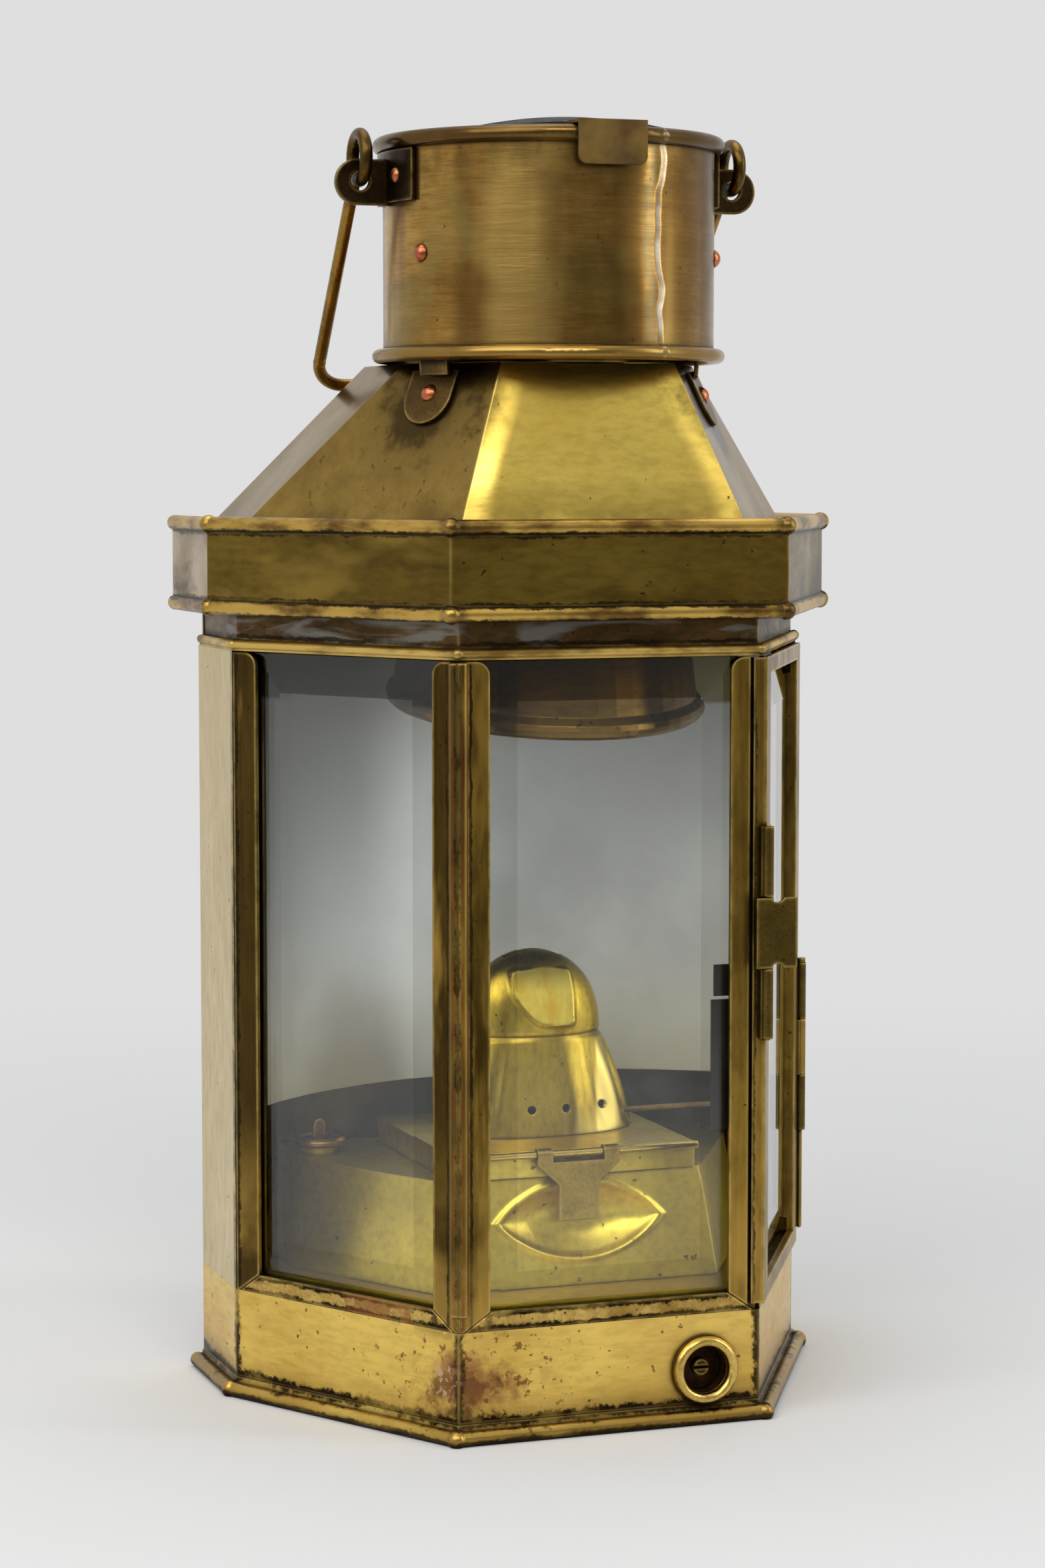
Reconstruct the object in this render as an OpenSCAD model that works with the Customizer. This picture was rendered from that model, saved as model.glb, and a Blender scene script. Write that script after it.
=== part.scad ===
// Bulkhead oil lamp: a half-hexagonal glazed brass case with a flat back,
// a deep brim, a pyramid roof and a round chimney that carries a bail handle.
// Millimetres, +Z up. x = 0 is the middle of the front pane, y runs from the
// front pane (negative) to the wall behind the lamp, z = 0 is the floor.

/* [Case plan] */
// Width of the front face
front_w = 91; // [84:0.5:98]
// Width of each slanted side face
side_w = 87; // [82:0.5:94]
// Turn of a side face away from the front face
face_angle = 60; // [58:0.5:62]
// Depth of the straight strip behind each side face
strip_d = 38; // [34:0.5:46]
// Thickness of the case sheet
sheet_t = 1.2; // [0.9:0.1:1.5]

/* [Case heights] */
// Height of the floor of the base pan
pan_h = 5.5; // [5:0.1:7]
// Height of the base panels
panel_h = 26; // [25:0.5:32]
// Height of the sill rails under the panes
rail_h = 5.5; // [4.5:0.1:7]
// Height of the glass opening
glass_h = 182.2; // [170:0.1:195]
// Height of the frieze between the panes and the brim
frieze_h = 12.2; // [10:0.1:15]
// Height of the brim between its two wired edges
brim_h = 23.7; // [18:0.1:30]
// Rise of the roof
roof_h = 45; // [40:0.5:48]

/* [Edges and brim] */
// Radius of the wired edges of foot and brim
wire_r = 2.2; // [1.8:0.1:2.6]
// How far the foot wire stands out from the panels
foot_out = 2; // [1:0.1:3]
// Flat worn under the foot wire
foot_wear = 0.2; // [0.1:0.05:0.4]
// How far the brim stands out from the panels
brim_out = 7.1; // [5:0.1:9]
// Radius of the bead under the frieze
bead_r = 1.3; // [1:0.1:1.6]
// How far the roof base lies inside the panels
roof_in = 5.5; // [4:0.1:7]

/* [Posts and panes] */
// Width of a post flange beside a pane
flange_w = 9.4; // [8.6:0.1:11]
// Radius of the reeds on the corner post
reed_r = 1.6; // [1.2:0.1:1.9]
// Thickness of the glass
glass_t = 3; // [2.4:0.1:3.6]
// Width of the bevel round each pane
bevel_w = 11.5; // [6:0.5:14]
// Thickness left at the edge of a pane
bevel_edge = 1.4; // [1:0.1:2]

/* [Door] */
// How far the door frame stands proud of the case
door_proud = 1.5; // [1.3:0.05:2]
// Thickness of the door sheet
door_t = 1.2; // [0.9:0.05:1.25]
// Depth of the rim round the door opening
door_rim = 2.2; // [1.8:0.1:2.8]
// Width of the door stiles
stile_w = 8; // [7:0.1:9]
// Width of the door rails
door_rail_w = 4.8; // [4:0.1:6]
// Length of the door hinge
hinge_len = 52; // [40:1:70]
// Height of the lower end of the door hinge
hinge_z = 68; // [50:1:80]
// Radius of the door hinge barrel
barrel_r = 1.7; // [1.5:0.05:1.9]
// Radius of the hinge pins
pin_r = 0.8; // [0.6:0.05:0.9]
// Clearance between a pin and its bore
fit_gap = 0.05; // [0.03:0.01:0.08]
// Height of the lower end of the latch
latch_z = 110.2; // [95:0.2:125]
// Height of one latch knuckle
knuckle_h = 20; // [16:0.2:24]
// Length of the thumb piece of the latch
thumb_l = 8.4; // [7:0.1:11]
// Length of the tail of the latch over the front post
tail_l = 4; // [3:0.1:4.2]

/* [Chimney] */
// Distance from the front face to the chimney axis
chimney_set = 52; // [52:0.5:54]
// Outer radius of the chimney tube
chimney_r = 47.8; // [45:0.1:49]
// Thickness of the chimney sheet
chimney_t = 1.2; // [1:0.1:1.5]
// Height of the chimney between its two wired edges
chimney_h = 60; // [50:0.5:72]
// Gap between the roof top and the foot ring of the chimney
vent_gap = 2.4; // [2.4:0.1:6]
// Radius of the wire in the foot ring of the chimney
ring_wire_r = 2; // [1.6:0.1:2.3]
// Radius of the flue mouth in the roof top
flue_r = 31; // [28:0.5:31]
// Radius of the flue at its lower lip
flue_lip_r = 46.5; // [43:0.5:47]
// Length of the flue under the roof
flue_l = 100; // [92:0.5:106]
// Tilt of the lower lip of the flue
flue_tilt = 9; // [4:0.5:10]
// Setback of the lower lip behind the chimney axis
flue_back = 3; // [0:0.5:3.5]

/* [Chimney cover] */
// Radius of the cover disc
cover_r = 42; // [38:0.5:42.5]
// Rise of the dome of the cover
cover_rise = 7; // [4:0.5:9]
// Width of the brass tab of the cover
tab_w = 20.2; // [14:0.2:26]
// Drop of the tab outside the rim
tab_drop = 12.3; // [8:0.1:15]
// Thickness of the cover sheet
cover_t = 1; // [0.8:0.1:1.2]

/* [Bail and ears] */
// Distance of the bail eyes from the middle of the lamp
eye_x = 57; // [56:0.1:59]
// Radius of a bail eye, to the middle of its wire
eye_r = 6.5; // [5.8:0.1:7.5]
// Radius of the bail wire
bail_wire_r = 1.85; // [1.5:0.05:2.1]
// Distance from the eye to the middle of the bar
bail_l = 82.5; // [80:0.5:86]
// Half length of the bar between its bends
bail_half = 54.4; // [53:0.1:56.5]
// Bend radius of the bail
bail_bend_r = 9; // [6:0.5:14]
// Turn of the resting bail away from hanging straight down
bail_rest = 40.3; // [40.1:0.1:45]
// Height of the bail axis below the rim wire
eye_drop = 4.5; // [3:0.1:6]
// Thickness of the ear plates
ear_t = 1.5; // [1.2:0.1:1.8]

/* [Oil font] */
// Height of the oil font
font_h = 31; // [26:0.5:34]
// Distance of the font front from the front face, at its top
font_set = 31; // [29:0.5:34]
// Distance of the font sides from the side faces, at its top
font_side = 21; // [19:0.5:24]
// Depth of the oil font at its top
font_d = 75; // [73:0.5:76]
// How much the font widens downwards on each side
font_taper = 6; // [3:0.5:7]
// Wall of the font
font_t = 1.2; // [1:0.1:1.5]
// Radius of the filler cap
cap_r = 8.1; // [7:0.1:8.5]

/* [Burner] */
// Width of the burner lid
lid_w = 75; // [68:0.5:80]
// Depth of the burner lid
lid_d = 69.5; // [66:0.5:70.5]
// Height of the burner lid
lid_h = 7.5; // [6.5:0.1:9]
// Thickness of the lid sheet
lid_t = 1; // [0.8:0.1:1.2]
// Radius of the lid rod and hinge rod
rod_r = 1.15; // [0.9:0.05:1.25]
// Setback of the wick from the lid front
wick_set = 36; // [32:0.5:37]
// Half width of the dome at its base
dome_a = 31; // [28:0.5:32]
// Half depth of the dome at its base
dome_b = 16; // [14:0.5:18]
// Height of the dome
dome_h = 54; // [50:0.5:58]
// Wall of the dome
dome_t = 1; // [0.8:0.1:1.2]
// Width of the wick
wick_w = 22; // [16:0.5:24]
// Thickness of the wick
wick_t = 2.4; // [1.8:0.1:3]
// Length of the wick spindle from the lamp middle
spindle_l = 62; // [58:0.5:64]
// Radius of the wick spindle
spindle_r = 0.85; // [0.7:0.05:1]
// Length of the hasp tongue
tongue_l = 19.4; // [16:0.2:21]
// Width of the hasp tongue at its top
tongue_w = 25; // [20:0.5:30]

/* [Reflector, ferrule and socket] */
// Radius of curvature of the reflector
reflector_r = 111; // [104:1:125]
// Height of the lower edge of the reflector above the sill
reflector_lift = 49; // [45:1:60]
// Gap between the reflector and the back sheet
reflector_gap = 5; // [3.5:0.1:6]
// Place of the ferrule right of the lamp middle
ferrule_x = 28.5; // [22:0.5:30]
// Radius of the hole through the ferrule
ferrule_r = 6.8; // [5:0.1:7]
// Width of the wall socket on the back
socket_w = 60; // [50:1:80]
// Height of the wall socket on the back
socket_h = 70; // [60:1:90]
// Depth of the wall socket
socket_d = 5; // [4:0.2:7]

/* [Hidden] */
$fn = 48;

// Seams between pieces that are soldered or lie on each other
seam = 0.05;
// Running gap between pieces that pass each other
run_gap = 0.3;

// Plan of the case
half_w = front_w / 2 + side_w * cos(face_angle);
case_d = side_w * sin(face_angle) + strip_d;
// How far the corner collars stand out of the wired edges
collar = 0.5;
rim_out = brim_out + wire_r + collar;
total_d = rim_out + case_d + socket_d;
y_front = rim_out - total_d / 2;
y_side = y_front + side_w * sin(face_angle);
y_wall = y_front + case_d;
y_axis = y_front + chimney_set;
turn_front = tan(face_angle / 2);
turn_side = tan((90 - face_angle) / 2);

// Heights
z_foot = wire_r - foot_wear;
z_panel = pan_h + panel_h;
z_sill = z_panel + rail_h;
ledge_t = 1;
z_ledge = z_sill - ledge_t;
z_cornice = z_sill + glass_h;
cornice_t = 0.8;
z_brim = z_cornice + frieze_h;
brim_t = 1.2;
z_brim_lo = z_brim + brim_t / 2;
z_brim_hi = z_brim_lo + brim_h;
ledge_sink = 0.4;
z_roof = z_brim_hi + brim_t - ledge_sink;
z_roof_top = z_roof + roof_h;
z_ring = z_roof_top + vent_gap;
z_rim = z_ring + chimney_h;
z_eye = z_rim - eye_drop;

// Glazing
pane_y = sheet_t + 0.1;
pane_back = pane_y + glass_t;
angle_t = 1;
pane_in = 3;
post_depth = pane_back + 0.1 + angle_t;

// Outline of the case, moved out by o, with the back moved by b
function plan(o, b = 0) = let(
    cx = front_w / 2 + o * turn_front,
    sx = half_w + o,
    sy = y_side - o * turn_side)
  [[-cx, y_front - o], [cx, y_front - o], [sx, sy], [sx, y_wall + b], [-sx, y_wall + b],
   [-sx, sy]];

// Places children in the frame of a face: x along it, y into the lamp
module on_face(side) {
  if (side == 0)
    translate([-front_w / 2, y_front, 0]) children();
  if (side == -1)
    translate([-half_w, y_side, 0]) rotate([0, 0, -face_angle]) children();
  if (side == 1)
    translate([front_w / 2, y_front, 0]) rotate([0, 0, face_angle]) children();
}

// Upright plate, drawn in the plane of a face, from depth d0 to d1
module face_plate(d0, d1) {
  translate([0, d1, 0])
    rotate([90, 0, 0])
      linear_extrude(d1 - d0) children();
}

// Straight side i of the outline between offsets o1 and o2, as a mitred wall
module wall(i, o1, o2, z0, z1) {
  a = plan(o1);
  b = plan(o2);
  j = (i + 1) % 6;
  translate([0, 0, z0])
    linear_extrude(z1 - z0) polygon([a[i], a[j], b[j], b[i]]);
}

// Front and side walls in one piece, open at the back
module u_wall(o1, o2, z0, z1) {
  a = plan(o1);
  b = plan(o2);
  order = [4, 5, 0, 1, 2, 3];
  translate([0, 0, z0])
    linear_extrude(z1 - z0)
      polygon(concat([for (k = order) a[k]], [for (k = [5 : -1 : 0]) b[order[k]]]));
}

// Wired edge along the front and the sides, with a collar at each corner
module wired_edge(o, r, z, collar) {
  p = plan(o);
  order = [4, 5, 0, 1, 2, 3];
  for (k = [0 : 4]) {
    a = p[order[k]];
    b = p[order[k + 1]];
    run = b - a;
    translate([a[0], a[1], z])
      rotate([0, 0, atan2(run[1], run[0])])
        rotate([0, 90, 0]) cylinder(r = r, h = norm(run));
  }
  for (k = [1 : 4])
    translate([p[order[k]][0], p[order[k]][1], z]) sphere(r = r + collar);
}

// Solid between two outlines of the same number of points
module frustum(low, z0, high, z1) {
  n = len(low);
  polyhedron(
    points = concat([for (p = low) [p[0], p[1], z0]], [for (p = high) [p[0], p[1], z1]]),
    faces = concat([[for (i = [0 : n - 1]) i]], [[for (i = [n - 1 : -1 : 0]) n + i]],
      [for (i = [0 : n - 1]) [i, n + i, n + (i + 1) % n, (i + 1) % n]]));
}

// Shell through rings of points, outer surface up and inner surface down again
module ring_shell(rings) {
  m = len(rings);
  n = len(rings[0]);
  polyhedron(
    points = [for (r = rings) each r],
    faces = [for (k = [0 : m - 1], i = [0 : n - 1], half = [0, 1]) let(
        a = k * n + i,
        b = k * n + (i + 1) % n,
        c = ((k + 1) % m) * n + (i + 1) % n,
        d = ((k + 1) % m) * n + i)
      half == 0 ? [a, d, c] : [a, c, b]]);
}

// Domed head of a rivet on the plane z = 0
module rivet_head(r, h) {
  ball = (r * r + h * h) / (2 * h);
  intersection() {
    translate([0, 0, h - ball]) sphere(r = ball);
    cylinder(r = r + 1, h = h + 1);
  }
}

/* Base */

module base_pan() {
  color("darkgoldenrod") {
    difference() {
      union() {
        wired_edge(foot_out, wire_r, z_foot, collar);
        frustum(plan(foot_out), z_foot, plan(foot_out * 0.35), z_foot + (pan_h - z_foot) / 2);
        frustum(plan(foot_out * 0.35), z_foot + (pan_h - z_foot) / 2, plan(0), pan_h);
      }
      translate([0, 0, -2 * wire_r])
        linear_extrude(2 * wire_r) polygon(plan(foot_out + 3 * wire_r, wire_r));
      translate([0, 0, -1])
        linear_extrude(pan_h + 1 - sheet_t) polygon(plan(foot_out - wire_r - 0.5, -2 * sheet_t));
    }
  }
}

module base_panels() {
  color("goldenrod")
    difference() {
      union() {
        u_wall(0, -sheet_t, pan_h, z_panel);
        on_face(1)
          translate([1.6, 0.1, z_panel - 1])
            cube([side_w - 4, sheet_t - 0.2, z_ledge - z_panel + 1]);
      }
      ferrule_place() cylinder(r = ferrule_tube_r + seam, h = 4 * sheet_t, center = true);
    }
}

module inner_floor() {
  color("darkgoldenrod")
    translate([0, 0, z_ledge])
      linear_extrude(ledge_t) polygon(plan(-post_depth - seam, -sheet_t - seam));
}

sill_seam = 0.4;
// Level stretch at the foot of a post before its mitre begins
post_foot = 1.5;

// One rail, mitred against the posts
module sill_rail(w) {
  x0 = post_foot + sill_seam;
  x1 = flange_w + sill_seam;
  face_plate(0, sheet_t)
    polygon([[x0, z_panel], [w - x0, z_panel], [w - x1, z_sill], [x1, z_sill]]);
}

module sill_rails() {
  color("gold") {
    on_face(0) sill_rail(front_w);
    on_face(-1) sill_rail(side_w);
  }
}

ledge_w = 9;

module sill_ledge() {
  color("darkgoldenrod") {
    difference() {
      union() {
        translate([0, 0, z_ledge - ledge_t])
          linear_extrude(ledge_t)
            difference() {
              polygon(plan(-sheet_t, -sheet_t));
              polygon(plan(-ledge_w, -ledge_w));
            }
        for (i = [0, 5])
          wall(i, -sheet_t, -2 * sheet_t, z_panel - 6, z_ledge - ledge_t);
      }
    }
  }
}

ferrule_tube_r = ferrule_r + 1;
ferrule_z = (pan_h + z_panel) / 2 - 3;
ferrule_ring_r = 1.5;

module ferrule_place() {
  translate([ferrule_x, y_front, ferrule_z])
    rotate([90, 0, 0]) children();
}

// The ring stands on a thin flange; +z of this frame points out of the lamp
module ferrule() {
  color("gold")
    ferrule_place() {
      rotate_extrude($fn = 72)
        polygon([[ferrule_r, -6], [ferrule_tube_r, -6], [ferrule_tube_r, seam],
          [ferrule_tube_r + 2, seam], [ferrule_tube_r + 2, 0.7], [ferrule_r, 0.7]]);
      rotate_extrude($fn = 72)
        translate([ferrule_r + ferrule_ring_r, ferrule_ring_r + seam]) circle(r = ferrule_ring_r);
    }
}

module ferrule_plug() {
  color("saddlebrown")
    ferrule_place()
      translate([0, 0, -6]) {
        cylinder(r = ferrule_r - seam, h = 1.6);
        difference() {
          cylinder(r = ferrule_r * 0.35, h = 4);
          translate([-ferrule_r, -0.4, 3]) cube([2 * ferrule_r, 0.8, 2]);
        }
      }
}

/* Back */

module back_sheet() {
  color("darkgoldenrod")
    translate([-half_w + sheet_t, y_wall - sheet_t, pan_h])
      cube([2 * (half_w - sheet_t), sheet_t, z_brim - pan_h]);
}

socket_z = z_sill + glass_h * 0.55;
socket_flange = 9;
socket_t = 1.2;

// A folded plate whose flanges lie on the back and whose face stands off it
module wall_socket() {
  inner_w = socket_w - 2 * socket_flange;
  color("darkgoldenrod")
    translate([0, y_wall, socket_z])
      difference() {
        union() {
          translate([-socket_w / 2, 0, 0]) cube([socket_w, socket_t, socket_h]);
          translate([-inner_w / 2 - socket_t, 0, 0])
            cube([inner_w + 2 * socket_t, socket_d, socket_h]);
        }
        translate([-inner_w / 2, -1, -1])
          cube([inner_w, socket_d - socket_t + 1, socket_h - socket_t + 1]);
      }
}

module socket_rivets() {
  color("sienna")
    for (sx = [-1, 1], sz = [0.18, 0.82])
      translate([sx * (socket_w - socket_flange) / 2, y_wall + socket_t + seam / 2,
          socket_z + sz * socket_h])
        rotate([-90, 0, 0]) rivet_head(2.2, 1.3);
}

module side_sheet(i) {
  wall(i, 0, -sheet_t, z_panel, z_cornice);
}

module side_sheet_left() {
  color("darkgoldenrod") side_sheet(4);
}

module side_sheet_right() {
  color("darkgoldenrod") side_sheet(2);
}

/* Posts */

post_top = z_cornice - 0.4;
flange_round = 4;

// Outline of a flange from x0 to w: mitred foot, rounded upper corner at the pane
module flange_shape(x0, w, short = 0) {
  r = flange_round;
  slope = (z_sill - z_panel) / (w - post_foot);
  z0 = z_panel + short;
  z1 = post_top - short;
  foot = x0 < post_foot ? [[x0, z0], [post_foot, z0]] : [[x0, z0 + slope * (x0 - post_foot)]];
  union() {
    polygon(concat(foot, [[w, z_sill + short], [w, z1 - r], [w - r, z1], [x0, z1]]));
    intersection() {
      translate([w - r, z1 - r]) circle(r = r);
      translate([w - r, z1 - r]) square(r);
    }
  }
}

// Inner angle strip that holds a pane from behind, from x0 to x1
module pane_strip(x0, x1, short = 0) {
  translate([x0, pane_back + 0.1, z_sill + short])
    cube([x1 - x0, angle_t, post_top - 0.15 - 2 * short - z_sill]);
}

strip_w = flange_w - 1.6;
corner_inset = post_depth * turn_front;

// Half of the corner post on one face: flange, reed and pane strip.
// One half is a little shorter, so that the ends of the two don't share a plane.
module corner_half(short) {
  z0 = z_ledge + 0.1 + short;
  face_plate(0, sheet_t) flange_shape(0.1, flange_w, short);
  pane_strip(corner_inset + seam, strip_w, short);
  translate([reed_r - 0.2, 0.4, z0])
    cylinder(r = reed_r, h = post_top - 0.3 - short - z0);
}

module corner_post() {
  color("goldenrod") {
    on_face(0) {
      corner_half(0);
      rotate([0, 0, 90 - face_angle / 2])
        translate([0.5, -0.5, z_sill + 0.1])
          cube([post_depth / cos(face_angle / 2) - 0.7, 1, post_top - 0.3 - z_sill]);
    }
    on_face(-1)
      translate([side_w, 0, 0]) mirror([1, 0, 0]) corner_half(0.05);
  }
}

module left_post() {
  x0 = sheet_t * turn_side + seam;
  color("goldenrod")
    on_face(-1) {
      face_plate(0, sheet_t) flange_shape(x0, flange_w);
      pane_strip(2.6, strip_w);
      translate([2.6, seam + sheet_t / 2, z_sill])
        cube([1, post_depth - sheet_t / 2 - seam, post_top - 0.2 - z_sill]);
    }
}

leaf_w = 2.8;
leaf_proud = 0.6;
post_slot = 3.6;
jamb_x0 = 2;
jamb_w = 3.2;

module door_post() {
  w = front_w;
  color("goldenrod") {
    on_face(0)
      translate([w, 0, 0]) mirror([1, 0, 0]) {
        face_plate(0, sheet_t) flange_shape(post_slot, flange_w);
        pane_strip(post_slot, strip_w);
        translate([post_slot + 0.1, 0.1, z_ledge + seam])
          cube([1, post_depth - 0.2, post_top - 0.2 - z_ledge - seam]);
        translate([-0.8, 1.5, z_sill])
          cube([post_slot + 1.2, 1.1, post_top - 0.3 - z_sill]);
      }
    on_face(1)
      translate([jamb_x0, 0, z_ledge]) cube([jamb_w, sheet_t, post_top - z_ledge]);
  }
}

hinge_jamb_w = 5;

module hinge_post() {
  x1 = side_w - sheet_t * turn_side - seam;
  color("goldenrod")
    on_face(1) {
      translate([side_w - hinge_jamb_w, 0, z_ledge])
        cube([x1 - side_w + hinge_jamb_w, sheet_t, post_top - z_ledge]);
      translate([side_w - hinge_jamb_w + 1.5, 0.1, z_sill])
        cube([1, post_depth, post_top - 0.2 - z_sill]);
    }
}

/* Panes */

// Bevelled pane with its front at y = 0, from x0 to x1 and z0 to z1
module pane(x0, x1, z0, z1) {
  hull() {
    translate([x0, bevel_depth, z0]) cube([x1 - x0, bevel_edge, z1 - z0]);
    translate([x0 + bevel_w, 0, z0 + bevel_w])
      cube([x1 - x0 - 2 * bevel_w, glass_t, z1 - z0 - 2 * bevel_w]);
  }
}
bevel_depth = glass_t - bevel_edge;

module case_pane(w) {
  edge = flange_w - pane_in;
  translate([0, pane_y, 0])
    pane(edge, w - edge, z_ledge + seam, z_cornice - 0.2);
}

module glass_left() {
  color("lightcyan", 0.4) on_face(-1) case_pane(side_w);
}

module glass_front() {
  color("lightcyan", 0.4) on_face(0) case_pane(front_w);
}

clip_w = 4;
clip_t = 0.8;
clip_lift = 46.5;
clip_z = z_sill + clip_lift;
clip_l = 37.5;
clip_head = 9;

// Bent strips that press the front pane against its posts
module glass_clips() {
  color("dimgray")
    on_face(0) {
      translate([front_w - flange_w - clip_w, pane_back + 0.1, clip_z])
        cube([clip_w + 1.6 - seam, clip_t, clip_l]);
      translate([front_w - flange_w - clip_w + clip_t, pane_back + 0.1, clip_z + clip_l + 1])
        cube([clip_w + 1.6 - clip_t - seam, clip_t, clip_head]);
    }
}

/* Frieze and brim */

frieze_in = 1.5;

module frieze() {
  color("saddlebrown")
    difference() {
      union() {
        u_wall(-frieze_in, -frieze_in - sheet_t, z_cornice + 0.1, z_brim);
        u_wall(0, -post_depth, z_cornice, z_cornice + cornice_t);
        wired_edge(-0.5, bead_r, z_cornice + cornice_t + bead_r - 0.3, 0.3);
      }
      translate([-half_w - 5, y_wall - sheet_t - seam, z_cornice - 1])
        cube([2 * half_w + 10, 4 * sheet_t, frieze_h + 2]);
    }
}

ledge_in = 9.5;

module brim() {
  soffit_in = frieze_in + sheet_t;
  edge = brim_out - 0.3;
  color("darkgoldenrod") {
    wired_edge(brim_out, wire_r, z_brim_lo, collar);
    wired_edge(brim_out, wire_r, z_brim_hi, collar);
    u_wall(brim_out + brim_t / 2, brim_out - brim_t / 2, z_brim_lo + 0.3, z_brim_hi - 0.2);
    translate([-half_w - edge, y_wall - sheet_t, z_brim])
      cube([2 * (half_w + edge), sheet_t, z_roof - z_brim]);
    translate([0, 0, z_brim])
      linear_extrude(brim_t)
        difference() {
          polygon(plan(edge));
          polygon(plan(-soffit_in, -sheet_t));
        }
    translate([0, 0, z_roof - brim_t])
      linear_extrude(brim_t)
        difference() {
          polygon(plan(edge));
          polygon(plan(-ledge_in, -ledge_in));
        }
  }
}

/* Roof */

roof_t = 1;
// How far the roof top lies inside the case faces
top_front = 19.2;
top_side = 26.5;
top_half_w = 44.3;
top_back = 24.4;

// Outline of the roof at its top, moved in by o
function roof_top(o) = let(
    f = top_front + o,
    s = top_side + o,
    x_end = top_half_w - o,
    cx = front_w / 2 + f / tan(face_angle) - s / sin(face_angle),
    sy = y_front + (x_end - front_w / 2 + s / sin(face_angle)) * tan(face_angle))
  [[-cx, y_front + f], [cx, y_front + f], [x_end, sy], [x_end, y_wall - top_back - o],
   [-x_end, y_wall - top_back - o], [-x_end, sy]];

module roof() {
  color("darkgoldenrod")
    difference() {
      frustum(plan(-roof_in, 0), z_roof, roof_top(0), z_roof_top);
      frustum(plan(-roof_in - roof_t, -roof_t), z_roof - 0.01, roof_top(roof_t),
        z_roof_top - roof_t);
      translate([0, y_axis, z_roof_top - 3 * roof_t]) cylinder(r = flue_r, h = 6 * roof_t);
    }
}

strap_w = 17;
strap_t = 1.2;
strap_off = 7;
strap_leg_w = 12;
// Height of the upper strap rivets over the foot ring, and of the leg above them
strap_rivet_h = 28;
strap_end = 7;
face_dist = (front_w / 2) * sin(face_angle) + chimney_set * cos(face_angle);
side_slope = atan((top_side - roof_in) / roof_h);
back_slope = atan(top_back / roof_h);

// A strap in the plane x = distance from the chimney axis, tongue down the roof
module strap(top_dist, slope, off) {
  inner_r = chimney_r - chimney_t;
  leg_w = strap_leg_w;
  reach = sqrt(inner_r * inner_r - leg_w * leg_w / 4) - run_gap;
  turn = asin(off / inner_r);
  leg_z0 = z_roof_top - 3.5;
  leg_z1 = z_ring + strap_rivet_h + strap_end;
  foot_d = (top_dist + 3.5 * tan(slope)) * cos(turn) + off * sin(turn)
    + leg_w / 2 * abs(sin(turn)) + strap_t;
  lean = atan((reach - foot_d) / (leg_z1 - leg_z0));
  translate([top_dist + seam, off, z_roof_top])
    rotate([0, -slope, 0])
      rotate([0, 90, 0])
        linear_extrude(strap_t)
          union() {
            translate([3, -strap_w / 2]) square([8, strap_w]);
            translate([11, 0]) circle(r = strap_w / 2);
          }
  rotate([0, 0, turn])
    translate([foot_d - strap_t, -leg_w / 2, leg_z0])
      rotate([0, lean, 0]) cube([strap_t, leg_w, (leg_z1 - leg_z0) / cos(lean)]);
}

// The three straps: one on each side facet and one on the back facet
module each_strap() {
  top_dist = face_dist - top_side;
  translate([0, y_axis, 0]) {
    rotate([0, 0, face_angle - 90]) strap_child(top_dist, side_slope, strap_off) children();
    mirror([1, 0, 0])
      rotate([0, 0, face_angle - 90]) strap_child(top_dist, side_slope, strap_off) children();
    rotate([0, 0, 90])
      strap_child(case_d - chimney_set - top_back, back_slope, 0) children();
  }
}
module strap_child(top_dist, slope, off) {
  $top_dist = top_dist;
  $slope = slope;
  $off = off;
  children();
}

module roof_straps() {
  color("darkgoldenrod")
    each_strap() strap($top_dist, $slope, $off);
}

module strap_rivets() {
  color("sienna")
    each_strap() {
      translate([$top_dist + seam, $off, z_roof_top])
        rotate([0, -$slope, 0])
          translate([strap_t + seam, 0, -10]) rotate([0, 90, 0]) rivet_head(2.6, 1.6);
      rotate([0, 0, asin($off / (chimney_r - chimney_t))])
        translate([chimney_r + seam, 0, z_ring + strap_rivet_h])
          rotate([0, 90, 0]) rivet_head(2.6, 1.8);
    }
}

/* Chimney */

rim_wire_r = wire_r;
rim_mid = chimney_r + 0.8;

module chimney() {
  inner = chimney_r - chimney_t;
  color("darkgoldenrod")
    translate([0, y_axis, 0]) {
      rotate_extrude($fn = 96)
        translate([inner, z_ring]) square([chimney_t, chimney_h]);
      rotate_extrude($fn = 96)
        translate([chimney_r + 1.2, z_ring]) circle(r = ring_wire_r, $fn = 32);
      rotate_extrude($fn = 96)
        translate([rim_mid, z_rim]) circle(r = rim_wire_r, $fn = 32);
    }
}

collar_h = 16;

module flue_collar() {
  color("darkgoldenrod")
    translate([0, y_axis, z_roof_top])
      rotate_extrude($fn = 72)
        polygon([[flue_r, 0], [flue_r + 3.5, 0], [flue_r + 3.5, 1], [flue_r + 1, 1],
          [flue_r + 1, collar_h], [flue_r, collar_h]]);
}

flue_t = 1;
flue_sides = 48;

// One ring of the flue: level s from 0 at the roof to 1 at the lip
function flue_ring(s, r) = [for (i = [0 : flue_sides - 1]) let(
    a = i * 360 / flue_sides,
    tilt = flue_tilt * s,
    x = r * cos(a),
    y = r * sin(a))
  [x, y_axis + flue_back * s + y * cos(tilt),
   z_roof_top - roof_t - seam - (flue_l - 3) * s + y * sin(tilt) * (s < 0.05 ? 0 : 1)]];

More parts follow.
